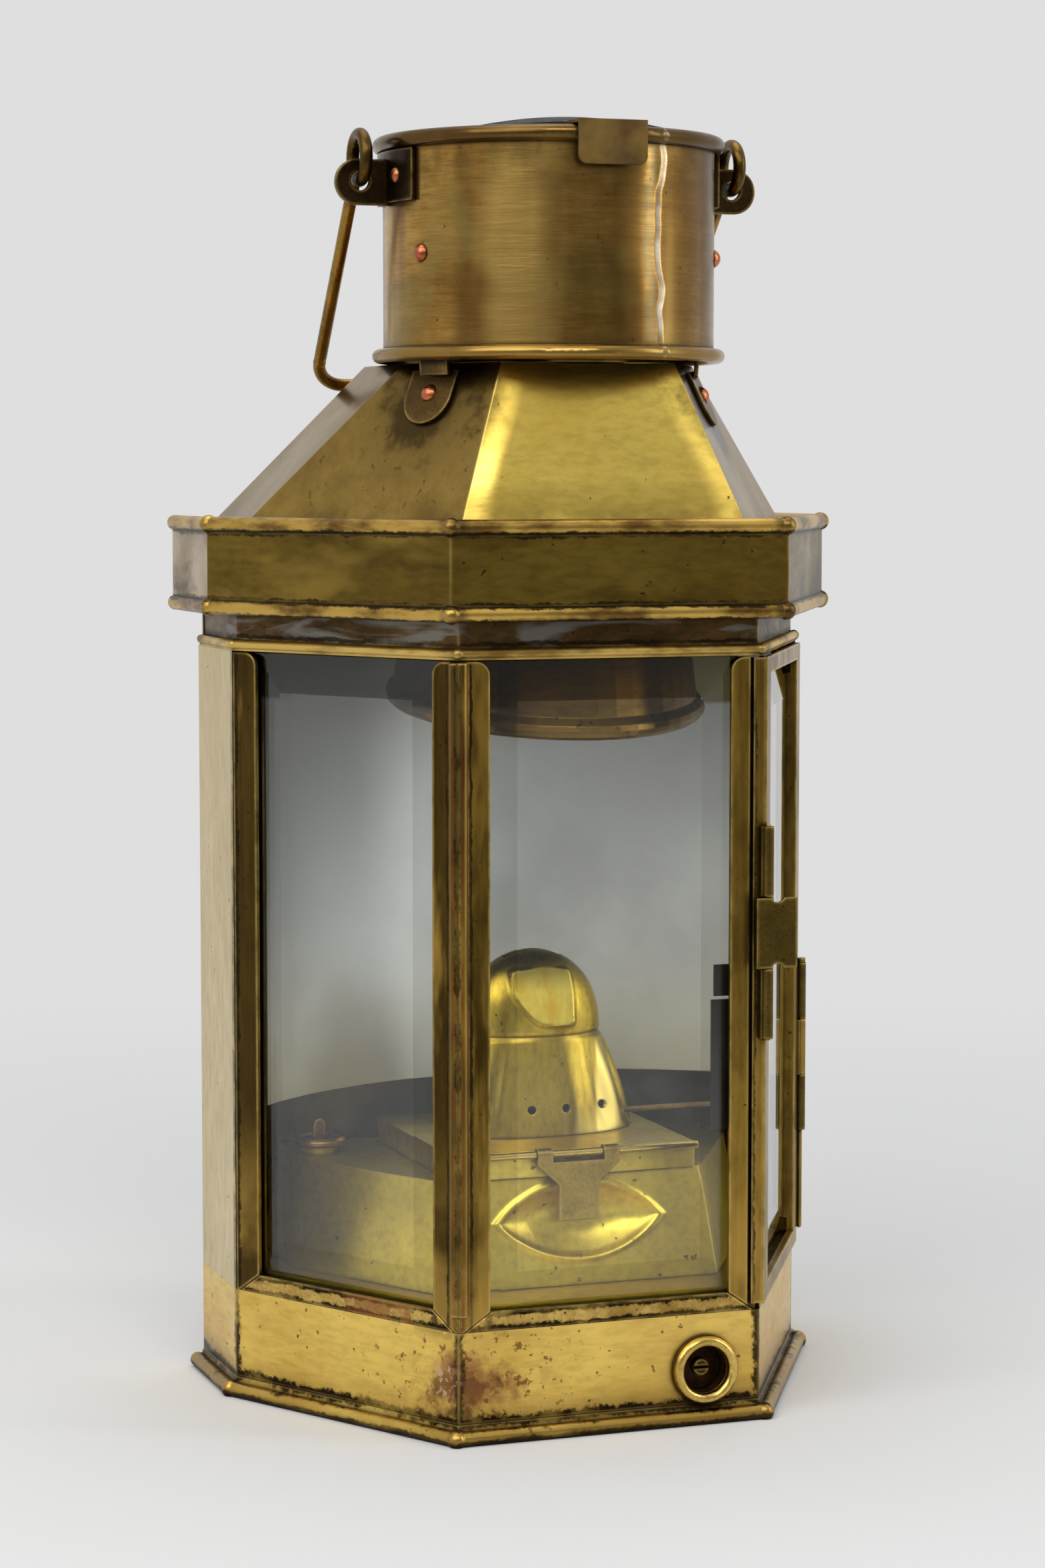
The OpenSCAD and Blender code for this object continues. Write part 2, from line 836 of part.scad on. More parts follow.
module flue() {
  top_r = flue_r + 0.6;
  neck_r = flue_lip_r - 3;
  color("olive")
    ring_shell([
      flue_ring(0, top_r), flue_ring(0.5, (top_r + neck_r) / 2), flue_ring(0.88, neck_r),
      flue_ring(0.95, neck_r + 0.9), flue_ring(0.97, flue_lip_r - 0.4),
      flue_ring(0.985, flue_lip_r), flue_ring(1, flue_lip_r - 0.4),
      flue_ring(1.01, flue_lip_r - 1.6), flue_ring(0.995, flue_lip_r - 2.2),
      flue_ring(0.94, neck_r - 0.2), flue_ring(0.88, neck_r - flue_t),
      flue_ring(0.5, (top_r + neck_r) / 2 - flue_t), flue_ring(0, top_r - flue_t)]);
}

/* Cover */

cover_pin_r = 1.2;
cover_barrel_r = 2.4;
cover_pin_y = y_axis + chimney_r - chimney_t - cover_barrel_r - 1.7;
cover_back = 2.3;
cover_front_y = cover_pin_y - cover_back - 2 * cover_r;
cover_lift = 0.3;
cover_pin_z = z_rim - 6;
tab_y = y_axis - rim_mid - rim_wire_r - 0.4;
cover_tilt = atan((z_rim + rim_wire_r + cover_lift - cover_pin_z) / (cover_pin_y - cover_front_y));
cover_steps = 7;

// Radius and height of a point of the domed disc, u from 0 at its middle to 1
function dome_point(u, t) = [cover_r * u, cover_rise * (1 - u * u) + t];

module chimney_cover() {
  knuckle_w = 14;
  color("black")
    translate([0, cover_pin_y, cover_pin_z])
      rotate([-cover_tilt, 0, 0]) {
        translate([0, -cover_back - cover_r, 0])
          rotate_extrude($fn = 72)
            polygon(concat(
              [for (k = [0 : cover_steps]) dome_point(k / cover_steps, 0)],
              [for (k = [cover_steps : -1 : 0]) dome_point(k / cover_steps, cover_t)]));
        difference() {
          union() {
            rotate([0, 90, 0]) cylinder(r = cover_barrel_r, h = knuckle_w, center = true);
            translate([-knuckle_w / 2, -cover_back - 3, 0]) cube([knuckle_w, 4, cover_t]);
          }
          rotate([0, 90, 0])
            cylinder(r = cover_pin_r + fit_gap, h = knuckle_w + 2, center = true);
        }
      }
  color("gold") cover_tab();
}

// The brass tab runs from the disc over the rim and down outside it
module cover_tab() {
  top_z = z_rim + rim_wire_r + cover_lift;
  corner = 2.5;
  difference() {
    union() {
      translate([-tab_w / 2, tab_y - cover_t, top_z])
        cube([tab_w, cover_front_y + 4 - tab_y + cover_t, cover_t]);
      translate([0, tab_y, top_z + cover_t])
        rotate([90, 0, 0])
          linear_extrude(cover_t)
            union() {
              translate([-tab_w / 2, corner - tab_drop]) square([tab_w, tab_drop - corner]);
              translate([-tab_w / 2 + corner, -tab_drop]) square([tab_w - 2 * corner, tab_drop]);
              for (s = [-1, 1])
                translate([s * (tab_w / 2 - corner), corner - tab_drop]) circle(r = corner);
            }
    }
  }
}

module cover_hinge() {
  lug_x = 7.3;
  lug_t = 1.8;
  lug_back = sqrt(pow(chimney_r - chimney_t, 2) - pow(lug_x + lug_t, 2)) + y_axis - seam;
  color("darkgoldenrod")
    translate([0, cover_pin_y, cover_pin_z]) {
      rotate([0, 90, 0]) cylinder(r = cover_pin_r, h = 2 * (lug_x + lug_t), center = true);
      for (s = [-1, 1])
        translate([s * (lug_x + lug_t / 2), 0, 0]) {
          rotate([0, 90, 0]) cylinder(r = cover_barrel_r, h = lug_t, center = true);
          translate([-lug_t / 2, 0, -cover_barrel_r])
            cube([lug_t, lug_back - cover_pin_y, 2 * cover_barrel_r]);
        }
    }
}

/* Ears and bail */

ear_h = 14.6;
ear_half_angle = 19;
lug_h = 13;
lug_end = lug_h / 2 + 0.8;
lug_reach = eye_x + lug_end;
lug_hole_r = bail_wire_r + 0.9;
z_lug_hole = z_eye - eye_r;

// Plate of the ear on the chimney, and the lug that carries the eye
module ear() {
  seat = chimney_r + seam;
  z0 = z_rim - rim_wire_r - 0.3 - ear_h;
  lug_z = z_lug_hole - 0.4;
  translate([0, y_axis, 0]) {
    translate([0, 0, z0])
      rotate([0, 0, -ear_half_angle])
        rotate_extrude(angle = 2 * ear_half_angle, $fn = 96)
          translate([seat, 0]) square([ear_t, ear_h]);
    difference() {
      translate([0, ear_t / 2, 0])
        rotate([90, 0, 0])
          linear_extrude(ear_t)
            union() {
              translate([seat + 0.2, lug_z - lug_h / 2])
                square([lug_reach - lug_h / 2 - seat - 0.2, lug_h]);
              translate([lug_reach - lug_h / 2, lug_z]) circle(r = lug_h / 2);
            }
      translate([eye_x, 0, z_lug_hole])
        rotate([90, 0, 0]) cylinder(r = lug_hole_r, h = 4 * ear_t, center = true);
    }
  }
}

module ear_right() {
  color("darkgoldenrod") ear();
}

module ear_left() {
  color("darkgoldenrod") mirror([1, 0, 0]) ear();
}

module ear_rivets() {
  color("sienna")
    for (m = [0, 1], a = [-9, 9])
      mirror([m, 0, 0])
        translate([0, y_axis, z_rim - rim_wire_r - 0.3 - ear_h / 2])
          rotate([0, 0, a])
            translate([chimney_r + ear_t + 2 * seam, 0, 0])
              rotate([0, 90, 0]) rivet_head(2.2, 1.4);
}

bail_lean = atan((eye_x - bail_half) / bail_l);

// One half of the bail, hanging straight down from the eye axis
module bail_half_wire() {
  drop = bail_l - bail_bend_r + bail_bend_r * sin(bail_lean);
  leg = (drop - eye_r) / cos(bail_lean);
  bend_x = eye_x - bail_bend_r * cos(bail_lean) - leg * sin(bail_lean);
  translate([eye_x, 0, 0])
    rotate([90, 0, 90])
      rotate([0, 0, -85])
        rotate_extrude(angle = 350, $fn = 64)
          translate([eye_r, 0]) circle(r = bail_wire_r, $fn = 32);
  translate([eye_x, 0, -eye_r]) sphere(r = bail_wire_r + 0.15);
  translate([eye_x, 0, -eye_r])
    rotate([0, 180 + bail_lean, 0]) cylinder(r = bail_wire_r, h = leg, $fn = 32);
  translate([bend_x + bail_bend_r * cos(bail_lean), 0, -drop])
    sphere(r = bail_wire_r + 0.1);
  translate([bend_x, 0, bail_bend_r - bail_l])
    rotate([90, 0, 0])
      rotate([0, 0, -90])
        rotate_extrude(angle = 90 - bail_lean, $fn = 64)
          translate([bail_bend_r, 0]) circle(r = bail_wire_r, $fn = 32);
  translate([-0.01, 0, -bail_l])
    rotate([0, 90, 0]) cylinder(r = bail_wire_r, h = bend_x + 0.01, $fn = 32);
}

module bail() {
  color("goldenrod")
    translate([0, y_axis, z_eye])
      rotate([bail_rest, 0, 0]) {
        bail_half_wire();
        mirror([1, 0, 0]) bail_half_wire();
      }
}

/* Reflector */

reflector_t = 0.8;
reflector_y = y_wall - sheet_t - reflector_gap - reflector_r;
// How far the ends of the reflector stand in front of the side sheets
reflector_end = 2.25;
reflector_depth = y_wall - sheet_t - reflector_gap - y_side + reflector_end;
reflector_x = sqrt(2 * reflector_r * reflector_depth - pow(reflector_depth, 2));
reflector_z = z_sill + reflector_lift;
reflector_h = glass_h - reflector_lift - 1.2;
channel_leg = 6;
reflector_half = asin(reflector_x / reflector_r);

module reflector() {
  color("silver")
    translate([0, reflector_y, reflector_z])
      rotate([0, 0, 90 - reflector_half])
        rotate_extrude(angle = 2 * reflector_half, $fn = 96)
          translate([reflector_r - reflector_t, 0]) square([reflector_t, reflector_h]);
}

// Upright angle on each side sheet, behind the end of the reflector
module reflector_channel() {
  x0 = reflector_x - 4;
  y0 = reflector_y + sqrt(reflector_r * reflector_r - x0 * x0) + seam;
  x1 = half_w - sheet_t - seam;
  translate([x0, y0, reflector_z]) cube([x1 - x0, 1.2, reflector_h]);
  translate([x1 - 1.2, y0, reflector_z + 0.1]) cube([1.2, channel_leg, reflector_h - 0.2]);
}

module reflector_channels() {
  color("darkgoldenrod") {
    reflector_channel();
    mirror([1, 0, 0]) reflector_channel();
  }
}

/* Oil font */

z_font = z_sill + seam;
z_deck = z_font + font_h;
font_y0 = y_front + font_set;
font_y1 = font_y0 + font_d;
font_x = 65.5;

// Outline of the font, moved out by o on all sides but the back
function font_plan(o, b) = let(
    side = font_side - o,
    y0 = font_y0 - o,
    cx = front_w / 2 + (y0 - y_front) / tan(face_angle) - side / sin(face_angle),
    sx = font_x + o,
    sy = y_front + (sx - front_w / 2 + side / sin(face_angle)) * tan(face_angle))
  [[-cx, y0], [cx, y0], [sx, sy], [sx, font_y1 + b], [-sx, font_y1 + b], [-sx, sy]];

wick_y = font_y0 + wick_set - 1;
cap_x = -font_x + cap_r - 1.5;
cap_y = font_y1 - cap_r - 8;
neck_r = cap_r - 2.6;
deck_hole_w = wick_w + 8;
deck_hole_d = 26;

// Almond recess for a finger under the hasp tongue
recess_w = 50;
recess_h = 22.4;
recess_depth = 4.2;
module almond(grow) {
  h = recess_h / 2;
  w = recess_w / 2;
  big = (w * w + h * h) / (2 * h);
  intersection() {
    translate([0, big - h]) circle(r = big + grow, $fn = 96);
    translate([0, h - big]) circle(r = big + grow, $fn = 96);
  }
}

// Dish of the recess: the almond drawn into the font to a shallow ball
module recess_dish(grow) {
  depth = recess_depth + grow;
  ball = 90;
  reach = 20;
  lead = 4;
  slope = atan(font_taper / font_h);
  mid = font_h - recess_h / 2 - 1.6;
  translate([1, font_y0 - font_taper * (1 - mid / font_h), z_font + mid])
    rotate([90 + slope, 0, 0])
      intersection() {
        translate([0, 0, -reach]) linear_extrude(reach + lead) almond(grow);
        translate([0, 0, ball - depth]) sphere(r = ball, $fn = 96);
      }
}

module font() {
  t = font_t;
  color("darkkhaki")
    difference() {
      union() {
        frustum(font_plan(font_taper, 0), z_font, font_plan(0, 0), z_deck);
        translate([cap_x, cap_y, z_deck - 0.5]) cylinder(r = neck_r, h = 2.6);
      }
      difference() {
        frustum(font_plan(font_taper - t, -t), z_font + t, font_plan(-t, -t), z_deck - t);
        recess_dish(t);
      }
      recess_dish(0);
      translate([cap_x, cap_y, z_deck - 2 * t]) cylinder(r = neck_r - 1.2, h = 8);
      translate([-deck_hole_w / 2, wick_y - deck_hole_d / 2, z_deck - 2 * t])
        cube([deck_hole_w, deck_hole_d, 4 * t]);
    }
}

hinge_rod_y = font_y0 - 1 + lid_d + rod_r + 1.1;
hinge_rod_z = z_deck + rod_r + 0.9;
lid_barrel_r = rod_r + 0.7;

// Fixed knuckles and the hinge rod behind the lid
module font_hinge() {
  color("darkgoldenrod") {
    translate([0, hinge_rod_y, hinge_rod_z])
      rotate([0, 90, 0]) cylinder(r = rod_r, h = lid_w - 6, center = true);
    for (x = [-lid_w / 2 + 6, 0, lid_w / 2 - 6])
      translate([x, hinge_rod_y, 0]) {
        translate([0, 0, hinge_rod_z])
          rotate([0, 90, 0]) cylinder(r = lid_barrel_r, h = 8, center = true);
        translate([-4, 0, z_deck + seam]) cube([8, lid_barrel_r, hinge_rod_z - z_deck]);
      }
  }
}

module filler_cap() {
  z0 = z_deck + 2.1 + seam;
  h = 2.6;
  color("darkgoldenrod")
    translate([cap_x, cap_y, z0]) {
      rotate_extrude()
        polygon([[0, 0], [cap_r - 0.8, 0], [cap_r, 0.8], [cap_r, h - 0.8], [cap_r - 0.8, h],
          [cap_r - 2.2, h], [cap_r - 2.6, h - 0.9], [0, h - 0.9]]);
      translate([0, 0.6, h - 1.2])
        rotate([90, 0, 0])
          linear_extrude(1.2)
            union() {
              translate([-1.8, 0]) square([3.6, 4.6]);
              translate([0, 4.6]) circle(r = 1.8);
            }
    }
}

/* Burner */

lid_y0 = font_y0 - 1;
lid_z0 = z_deck + seam;
lid_z1 = lid_z0 + lid_h;
dome_z = lid_z1 + seam;
spindle_z = dome_z + 4.6;
spindle_y = wick_y - wick_t / 2 - 2.8;
slot_w = wick_w + 2;

module burner_lid() {
  opening_w = wick_w + 4;
  opening_d = wick_t + 12;
  color("darkkhaki") {
    difference() {
      translate([-lid_w / 2, lid_y0, lid_z0]) cube([lid_w, lid_d, lid_h]);
      translate([-lid_w / 2 + lid_t, lid_y0 + lid_t, lid_z0 - 1])
        cube([lid_w - 2 * lid_t, lid_d - 2 * lid_t, lid_h - lid_t + 1]);
      translate([-opening_w / 2, wick_y - opening_d / 2, lid_z1 - 2 * lid_t])
        cube([opening_w, opening_d, 4 * lid_t]);
    }
    for (s = [-1, 1])
      translate([s * lid_w / 4, 0, 0])
        difference() {
          union() {
            translate([0, hinge_rod_y, hinge_rod_z])
              rotate([0, 90, 0]) cylinder(r = lid_barrel_r, h = 16, center = true);
            translate([-8, lid_y0 + lid_d - 0.5, hinge_rod_z])
              cube([16, hinge_rod_y - lid_y0 - lid_d + 0.5, lid_barrel_r]);
          }
          translate([0, hinge_rod_y, hinge_rod_z])
            rotate([0, 90, 0]) cylinder(r = rod_r + fit_gap, h = 20, center = true);
        }
  }
}

front_rod_y = lid_y0 - rod_r - 1;
front_rod_z = lid_z1 - 0.6;
tongue_barrel_r = rod_r + 0.7;

// Rod along the front edge of the lid, held by three small saddles
module lid_rod() {
  color("gold") {
    translate([0, front_rod_y, front_rod_z])
      rotate([0, 90, 0]) cylinder(r = rod_r, h = lid_w, center = true);
    for (x = [-lid_w / 2 + 3, 0, lid_w / 2 - 3])
      translate([x - 2, front_rod_y, front_rod_z - rod_r + 0.1])
        cube([4, lid_y0 - front_rod_y - seam, 1.4]);
  }
}

dome_sides = 40;
dome_steps = 9;
// Height of the crease, as a share of the dome, and how much narrower it is there
crease = 0.58;
crease_in = 0.35;
// Where the front of the crown is beaten flat, as a share of its half depth
pad = 0.8;
air_hole_r = 1.3;
air_hole_z = 8;

// Half width of the dome at height u, from 0 at the foot to 1 at the crown
function dome_scale(u) = u < crease ? 1 - crease_in * u / crease
  : (1 - crease_in) * sqrt(max(0, 1 - pow((u - crease) / (1.02 - crease), 2.2)));
// Half depth of the dome at height u
function dome_depth(u) = dome_b * (0.4 + 0.6 * dome_scale(u));
function dome_front(u, t) = (u > crease && u < 0.85 ? pad : 1) * (dome_depth(u) - t);
function dome_ring(u, t) = [for (i = [0 : dome_sides - 1]) let(
    a = i * 360 / dome_sides)
  [(dome_a * dome_scale(u) - t) * cos(a),
   wick_y + max((dome_depth(u) - t) * sin(a), -dome_front(u, t)),
   dome_z + (dome_h - t) * u]];

module dome() {
  levels = [for (k = [0 : dome_steps]) pow(k / dome_steps, 0.8)];
  color("gold")
    difference() {
      ring_shell(concat(
        [for (u = levels) dome_ring(min(u, 0.985), 0)],
        [for (k = [dome_steps : -1 : 0]) dome_ring(min(levels[k], 0.985), dome_t)]));
      translate([0, spindle_y - spindle_r - 0.5, dome_z - 1])
        cube([dome_a + 5, 2 * spindle_r + 1, spindle_z - dome_z + 1 + spindle_r + 0.5]);
      translate([-slot_w / 2, wick_y - 3, dome_z + dome_h * 0.9])
        cube([slot_w, 6, dome_h]);
      for (a = [-148, -110, -70, -32])
        translate([0, wick_y, dome_z + air_hole_z])
          rotate([0, 0, a])
            rotate([0, 90, 0]) cylinder(r = air_hole_r, h = dome_a + 5, $fn = 16);
    }
}

tube_t = 0.8;
wick_gap = 0.25;
tube_z0 = lid_z0 + 1;
tube_h = 36;
tube_z1 = dome_z + tube_h;
bracket_x = wick_w / 2 + 3;

plate_side = 4;
plate_front = 7.5;

module wick_tube() {
  in_w = wick_w + 2 * wick_gap;
  in_t = wick_t + 2 * wick_gap;
  out_w = in_w + 2 * tube_t;
  out_t = in_t + 2 * tube_t;
  color("darkgoldenrod") {
    difference() {
      union() {
        translate([-out_w / 2, wick_y - out_t / 2, tube_z0]) cube([out_w, out_t, tube_z1 - tube_z0]);
        translate([-wick_w / 2 - plate_side, wick_y - wick_t / 2 - plate_front, lid_z1 + seam])
          cube([wick_w + 2 * plate_side, wick_t + 2 * plate_front, 1]);
      }
      translate([-in_w / 2, wick_y - in_t / 2, tube_z0 - 1])
        cube([in_w, in_t, tube_z1 - tube_z0 + 2]);
      for (x = [-1, 1] * wick_w / 4)
        translate([x - 1.2, wick_y - out_t, spindle_z - 3]) cube([2.4, out_t, 6]);
    }
    for (x = [-bracket_x, bracket_x])
      difference() {
        translate([x - 0.5, spindle_y - 2.5, lid_z1 + seam]) cube([1, 5, spindle_z - lid_z1 + 2]);
        translate([x, spindle_y, spindle_z])
          rotate([0, 90, 0]) cylinder(r = spindle_r + fit_gap, h = 4, center = true);
      }
  }
}

module wick() {
  color("ivory")
    translate([-wick_w / 2, wick_y - wick_t / 2, lid_z0 - 14])
      cube([wick_w, wick_t, tube_z1 + 1 - lid_z0 + 14]);
}

wheel_r = 2.6;
knob_r = 6;

module wick_spindle() {
  color("darkgoldenrod")
    translate([0, spindle_y, spindle_z])
      rotate([0, 90, 0]) {
        translate([0, 0, -bracket_x - 1.5])
          cylinder(r = spindle_r, h = spindle_l + bracket_x + 1.5, $fn = 24);
        for (x = [-1, 1] * wick_w / 4)
          translate([0, 0, x - 0.8]) cylinder(r = wheel_r, h = 1.6, $fn = 12);
        for (x = [bracket_x + 0.7, -bracket_x - 1.7])
          translate([0, 0, x]) cylinder(r = spindle_r + 0.7, h = 1);
        translate([0, 0, spindle_l - 2.4])
          difference() {
            cylinder(r = knob_r, h = 2.4);
            for (a = [0 : 20 : 340])
              rotate([0, 0, a]) translate([knob_r + 0.25, 0, -1]) cylinder(r = 0.7, h = 5, $fn = 14);
          }
      }
}

tongue_narrow = 12;
tongue_t = 1;

// Hasp tongue: two sleeves on the front rod, a wide shoulder and a narrow tip
module hasp_tongue() {
  plate_y = front_rod_y - tongue_barrel_r;
  shoulder = 6;
  color("darkkhaki")
    difference() {
      union() {
        for (s = [-1, 1])
          translate([s * (tongue_w / 2 - 2.3), front_rod_y, front_rod_z])
            rotate([0, 90, 0]) cylinder(r = tongue_barrel_r, h = 4.6, center = true);
        translate([0, plate_y + tongue_t, front_rod_z])
          rotate([90, 0, 0])
            linear_extrude(tongue_t)
              difference() {
                polygon([[-tongue_w / 2, 0], [tongue_w / 2, 0], [tongue_w / 2, -3],
                  [tongue_narrow / 2, -shoulder - 3], [tongue_narrow / 2, -tongue_l],
                  [-tongue_narrow / 2, -tongue_l], [-tongue_narrow / 2, -shoulder - 3],
                  [-tongue_w / 2, -3]]);
                translate([-tongue_w / 2 + 4.6, -2.2]) square([tongue_w - 9.2, 3]);
              }
      }
      translate([0, front_rod_y, front_rod_z])
        rotate([0, 90, 0]) cylinder(r = rod_r + fit_gap, h = tongue_w + 4, center = true);
    }
}

/* Door */

door_x0 = 0;
door_x1 = side_w - 0.6;
door_z0 = z_panel + 1.8;
door_z1 = post_top - 0.1;
rim_t = 1;
door_in = door_proud - door_rim;

// Frame of the door in the plane of its face
module door_ring(x0, x1, z0, z1, w_side, w_rail) {
  difference() {
    translate([x0, z0]) square([x1 - x0, z1 - z0]);
    translate([x0 + w_side, z0 + w_rail])
      square([x1 - x0 - 2 * w_side, z1 - z0 - 2 * w_rail]);
  }
}

module door_frame() {
  inner_x0 = door_x0 + stile_w;
  inner_x1 = door_x1 - stile_w;
  inner_z0 = door_z0 + door_rail_w;
  inner_z1 = door_z1 - door_rail_w;
  color("goldenrod") {
    on_face(1) {
      face_plate(-door_proud, -door_proud + door_t)
        door_ring(door_x0, door_x1, door_z0, door_z1, stile_w, door_rail_w);
      face_plate(-door_proud, -door_in)
        door_ring(inner_x0 - rim_t, inner_x1 + rim_t, inner_z0 - rim_t, inner_z1 + rim_t,
          rim_t, rim_t);
      // Strips that hold the pane from behind
      for (x = [inner_x0 - rim_t, inner_x1])
        translate([x, -door_in - 0.1, inner_z0 + 4])
          cube([rim_t, glass_t + 1.3, inner_z1 - inner_z0 - 8]);
      translate([inner_x0 - rim_t, -door_in + glass_t + 0.2, inner_z0 + 4])
        cube([rim_t + 2.5, 1, inner_z1 - inner_z0 - 8]);
      translate([inner_x1 - 2.5, -door_in + glass_t + 0.2, inner_z0 + 4])
        cube([rim_t + 2.5, 1, inner_z1 - inner_z0 - 8]);
    }
    // Leaf that wraps round the corner into the front plane
    on_face(0)
      translate([front_w, 0, 0])
        translate([-leaf_w, -leaf_proud, door_z0 + 0.1])
          cube([leaf_w + 0.75, door_t, door_z1 - door_z0 - 0.2]);
    on_face(1)
      translate([-0.4, -door_proud, door_z0 + 0.05])
        cube([2, door_t - 0.05, door_z1 - door_z0 - 0.1]);
    // Middle knuckle of the door hinge
    hinge_place()
      difference() {
        union() {
          translate([0, 0, hinge_len / 3 + run_gap / 2])
            cylinder(r = barrel_r, h = hinge_len / 3 - run_gap);
          translate([-3, -0.2, hinge_len / 3 + run_gap / 2])
            cube([3, door_t, hinge_len / 3 - run_gap]);
        }
        cylinder(r = pin_r + fit_gap, h = hinge_len);
      }
  }
}

module door_glass() {
  color("lightcyan", 0.4)
    on_face(1)
      translate([0, -door_in + 0.05, 0])
        pane(door_x0 + stile_w + seam, door_x1 - stile_w - seam,
          door_z0 + door_rail_w - 0.5, door_z1 - door_rail_w + 0.5);
}

// Axis of the door hinge, outside the rear corner of the door face
hinge_dx = side_w + 1.1;
hinge_dy = -2.1;
module hinge_place() {
  on_face(1)
    translate([hinge_dx, hinge_dy, hinge_z]) children();
}

leaf_reach = 9.5;
hook_l = 5;

module door_hinge_leaf() {
  color("saddlebrown") {
    hinge_place()
      for (k = [0, 2])
        difference() {
          translate([0, 0, k * hinge_len / 3]) cylinder(r = barrel_r, h = hinge_len / 3);
          translate([0, 0, -1]) cylinder(r = pin_r + fit_gap, h = hinge_len + 2);
        }
    // Leaf on the straight side of the case
    for (k = [0, 2])
      translate([half_w + seam, y_side + 0.3, hinge_z + k * hinge_len / 3 + 0.1])
        cube([1.1, leaf_reach, hinge_len / 3 - 0.2]);
  }
}

// The pin reaches down to the foot of the door and ends in a hook
module door_hinge_pin() {
  drop = hinge_z - z_sill - 1;
  color("darkgoldenrod")
    hinge_place() {
      translate([0, 0, -drop]) cylinder(r = pin_r, h = hinge_len + drop + 0.5, $fn = 24);
      translate([0, 0, -drop]) sphere(r = pin_r + 0.05, $fn = 24);
      rotate([0, 0, -face_angle])
        translate([0, 0, -drop]) rotate([-90, 0, 0]) cylinder(r = pin_r, h = hook_l, $fn = 24);
      translate([0, 0, hinge_len + 0.05]) cylinder(r = barrel_r - 0.2, h = 1.4);
    }
}

// Axis of the latch at the front edge of the door
latch_dx = 0.9;
latch_y = -2.8;
latch_r = 1.6;
module latch_place() {
  translate([front_w / 2 + latch_dx, y_front + latch_y, latch_z]) children();
}

module latch_barrel() {
  color("goldenrod")
    latch_place()
      difference() {
        for (k = [0, 2])
          translate([0, 0, k * (knuckle_h + run_gap)]) {
            cylinder(r = latch_r, h = knuckle_h);
            translate([-2, 0, 0]) cube([1, -latch_y - leaf_proud - seam, knuckle_h]);
          }
        translate([0, 0, -1]) cylinder(r = pin_r + fit_gap, h = 3 * knuckle_h + 4);
      }
}

module latch_pin() {
  color("saddlebrown")
    latch_place()
      translate([0, 0, -0.5]) cylinder(r = pin_r, h = 3 * knuckle_h + 2 * run_gap + 1, $fn = 24);
}

thumb_t = 1.1;

// Thumb piece: ogee ends, turned about the latch axis
module latch_thumb() {
  color("goldenrod")
    latch_place()
      translate([0, 0, knuckle_h + run_gap])
        difference() {
          union() {
            cylinder(r = latch_r, h = knuckle_h);
            translate([0, -latch_r + thumb_t, 0])
              rotate([90, 0, 0])
                linear_extrude(thumb_t)
                  difference() {
                    translate([-tail_l, 0]) square([tail_l + thumb_l, knuckle_h]);
                    translate([2.4, -0.9]) circle(r = 2.2);
                    translate([2.4, knuckle_h + 0.9]) circle(r = 2.2);
                  }
          }
          translate([0, 0, -1]) cylinder(r = pin_r + fit_gap, h = knuckle_h + 2);
        }
}

base_pan();
base_panels();
inner_floor();
sill_rails();
sill_ledge();
ferrule();
ferrule_plug();
back_sheet();
wall_socket();
socket_rivets();
side_sheet_left();
side_sheet_right();
corner_post();
left_post();
door_post();
hinge_post();
glass_left();
glass_front();
glass_clips();
frieze();
brim();
roof();
roof_straps();
strap_rivets();
chimney();
flue_collar();
flue();
ear_left();
ear_right();
ear_rivets();
bail();
chimney_cover();
cover_hinge();
reflector();
reflector_channels();
font();
font_hinge();
filler_cap();
burner_lid();
lid_rod();
dome();
wick_tube();
wick();
wick_spindle();
hasp_tongue();
door_frame();
door_glass();
door_hinge_leaf();
door_hinge_pin();
latch_barrel();
latch_pin();
latch_thumb();
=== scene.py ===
"""Antique brass bulkhead oil lamp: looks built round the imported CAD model. Metres, +Z up."""
import math

import bpy
from mathutils import Matrix, Vector


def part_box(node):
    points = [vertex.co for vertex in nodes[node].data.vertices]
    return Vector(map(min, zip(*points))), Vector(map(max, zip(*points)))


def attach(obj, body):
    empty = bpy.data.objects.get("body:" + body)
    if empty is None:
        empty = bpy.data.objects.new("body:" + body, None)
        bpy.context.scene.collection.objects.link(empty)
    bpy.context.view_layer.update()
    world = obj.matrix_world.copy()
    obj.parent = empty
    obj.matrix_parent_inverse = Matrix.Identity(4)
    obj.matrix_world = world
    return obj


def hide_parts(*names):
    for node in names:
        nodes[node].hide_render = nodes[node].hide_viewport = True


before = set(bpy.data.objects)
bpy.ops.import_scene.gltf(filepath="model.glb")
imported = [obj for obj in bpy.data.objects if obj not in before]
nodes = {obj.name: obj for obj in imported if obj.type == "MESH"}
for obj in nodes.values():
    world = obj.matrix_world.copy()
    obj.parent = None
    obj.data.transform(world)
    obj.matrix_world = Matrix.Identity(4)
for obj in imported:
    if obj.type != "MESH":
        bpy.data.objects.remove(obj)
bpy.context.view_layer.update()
MM = 0.001

# Driving sizes, worked out from the frame ------------------------------------
PANE_SET = 1.3 * MM                # how far the panes lie behind the faces of the case
FRONT_HALF = 45.5 * MM             # half the width of the front face
SLANT_DEPTH = 75.34 * MM           # how far back the slanted faces reach
SLANT_X = 89 * MM                  # where they meet the straight sides, from the middle
FRONT_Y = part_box("glass_front")[0].y - PANE_SET
SIDE_Y = FRONT_Y + SLANT_DEPTH
CORNER = (-FRONT_HALF, FRONT_Y)    # upright edge between the two panes
RIGHT_CORNER = (FRONT_HALF, FRONT_Y)
LEFT_EDGE = (-SLANT_X, SIDE_Y)
RIGHT_EDGE = (SLANT_X, SIDE_Y)
CHIMNEY_LOW, CHIMNEY_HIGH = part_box("chimney")
AXIS_Y = (CHIMNEY_LOW.y + CHIMNEY_HIGH.y) / 2
BRIM_LOW, BRIM_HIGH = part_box("brim")
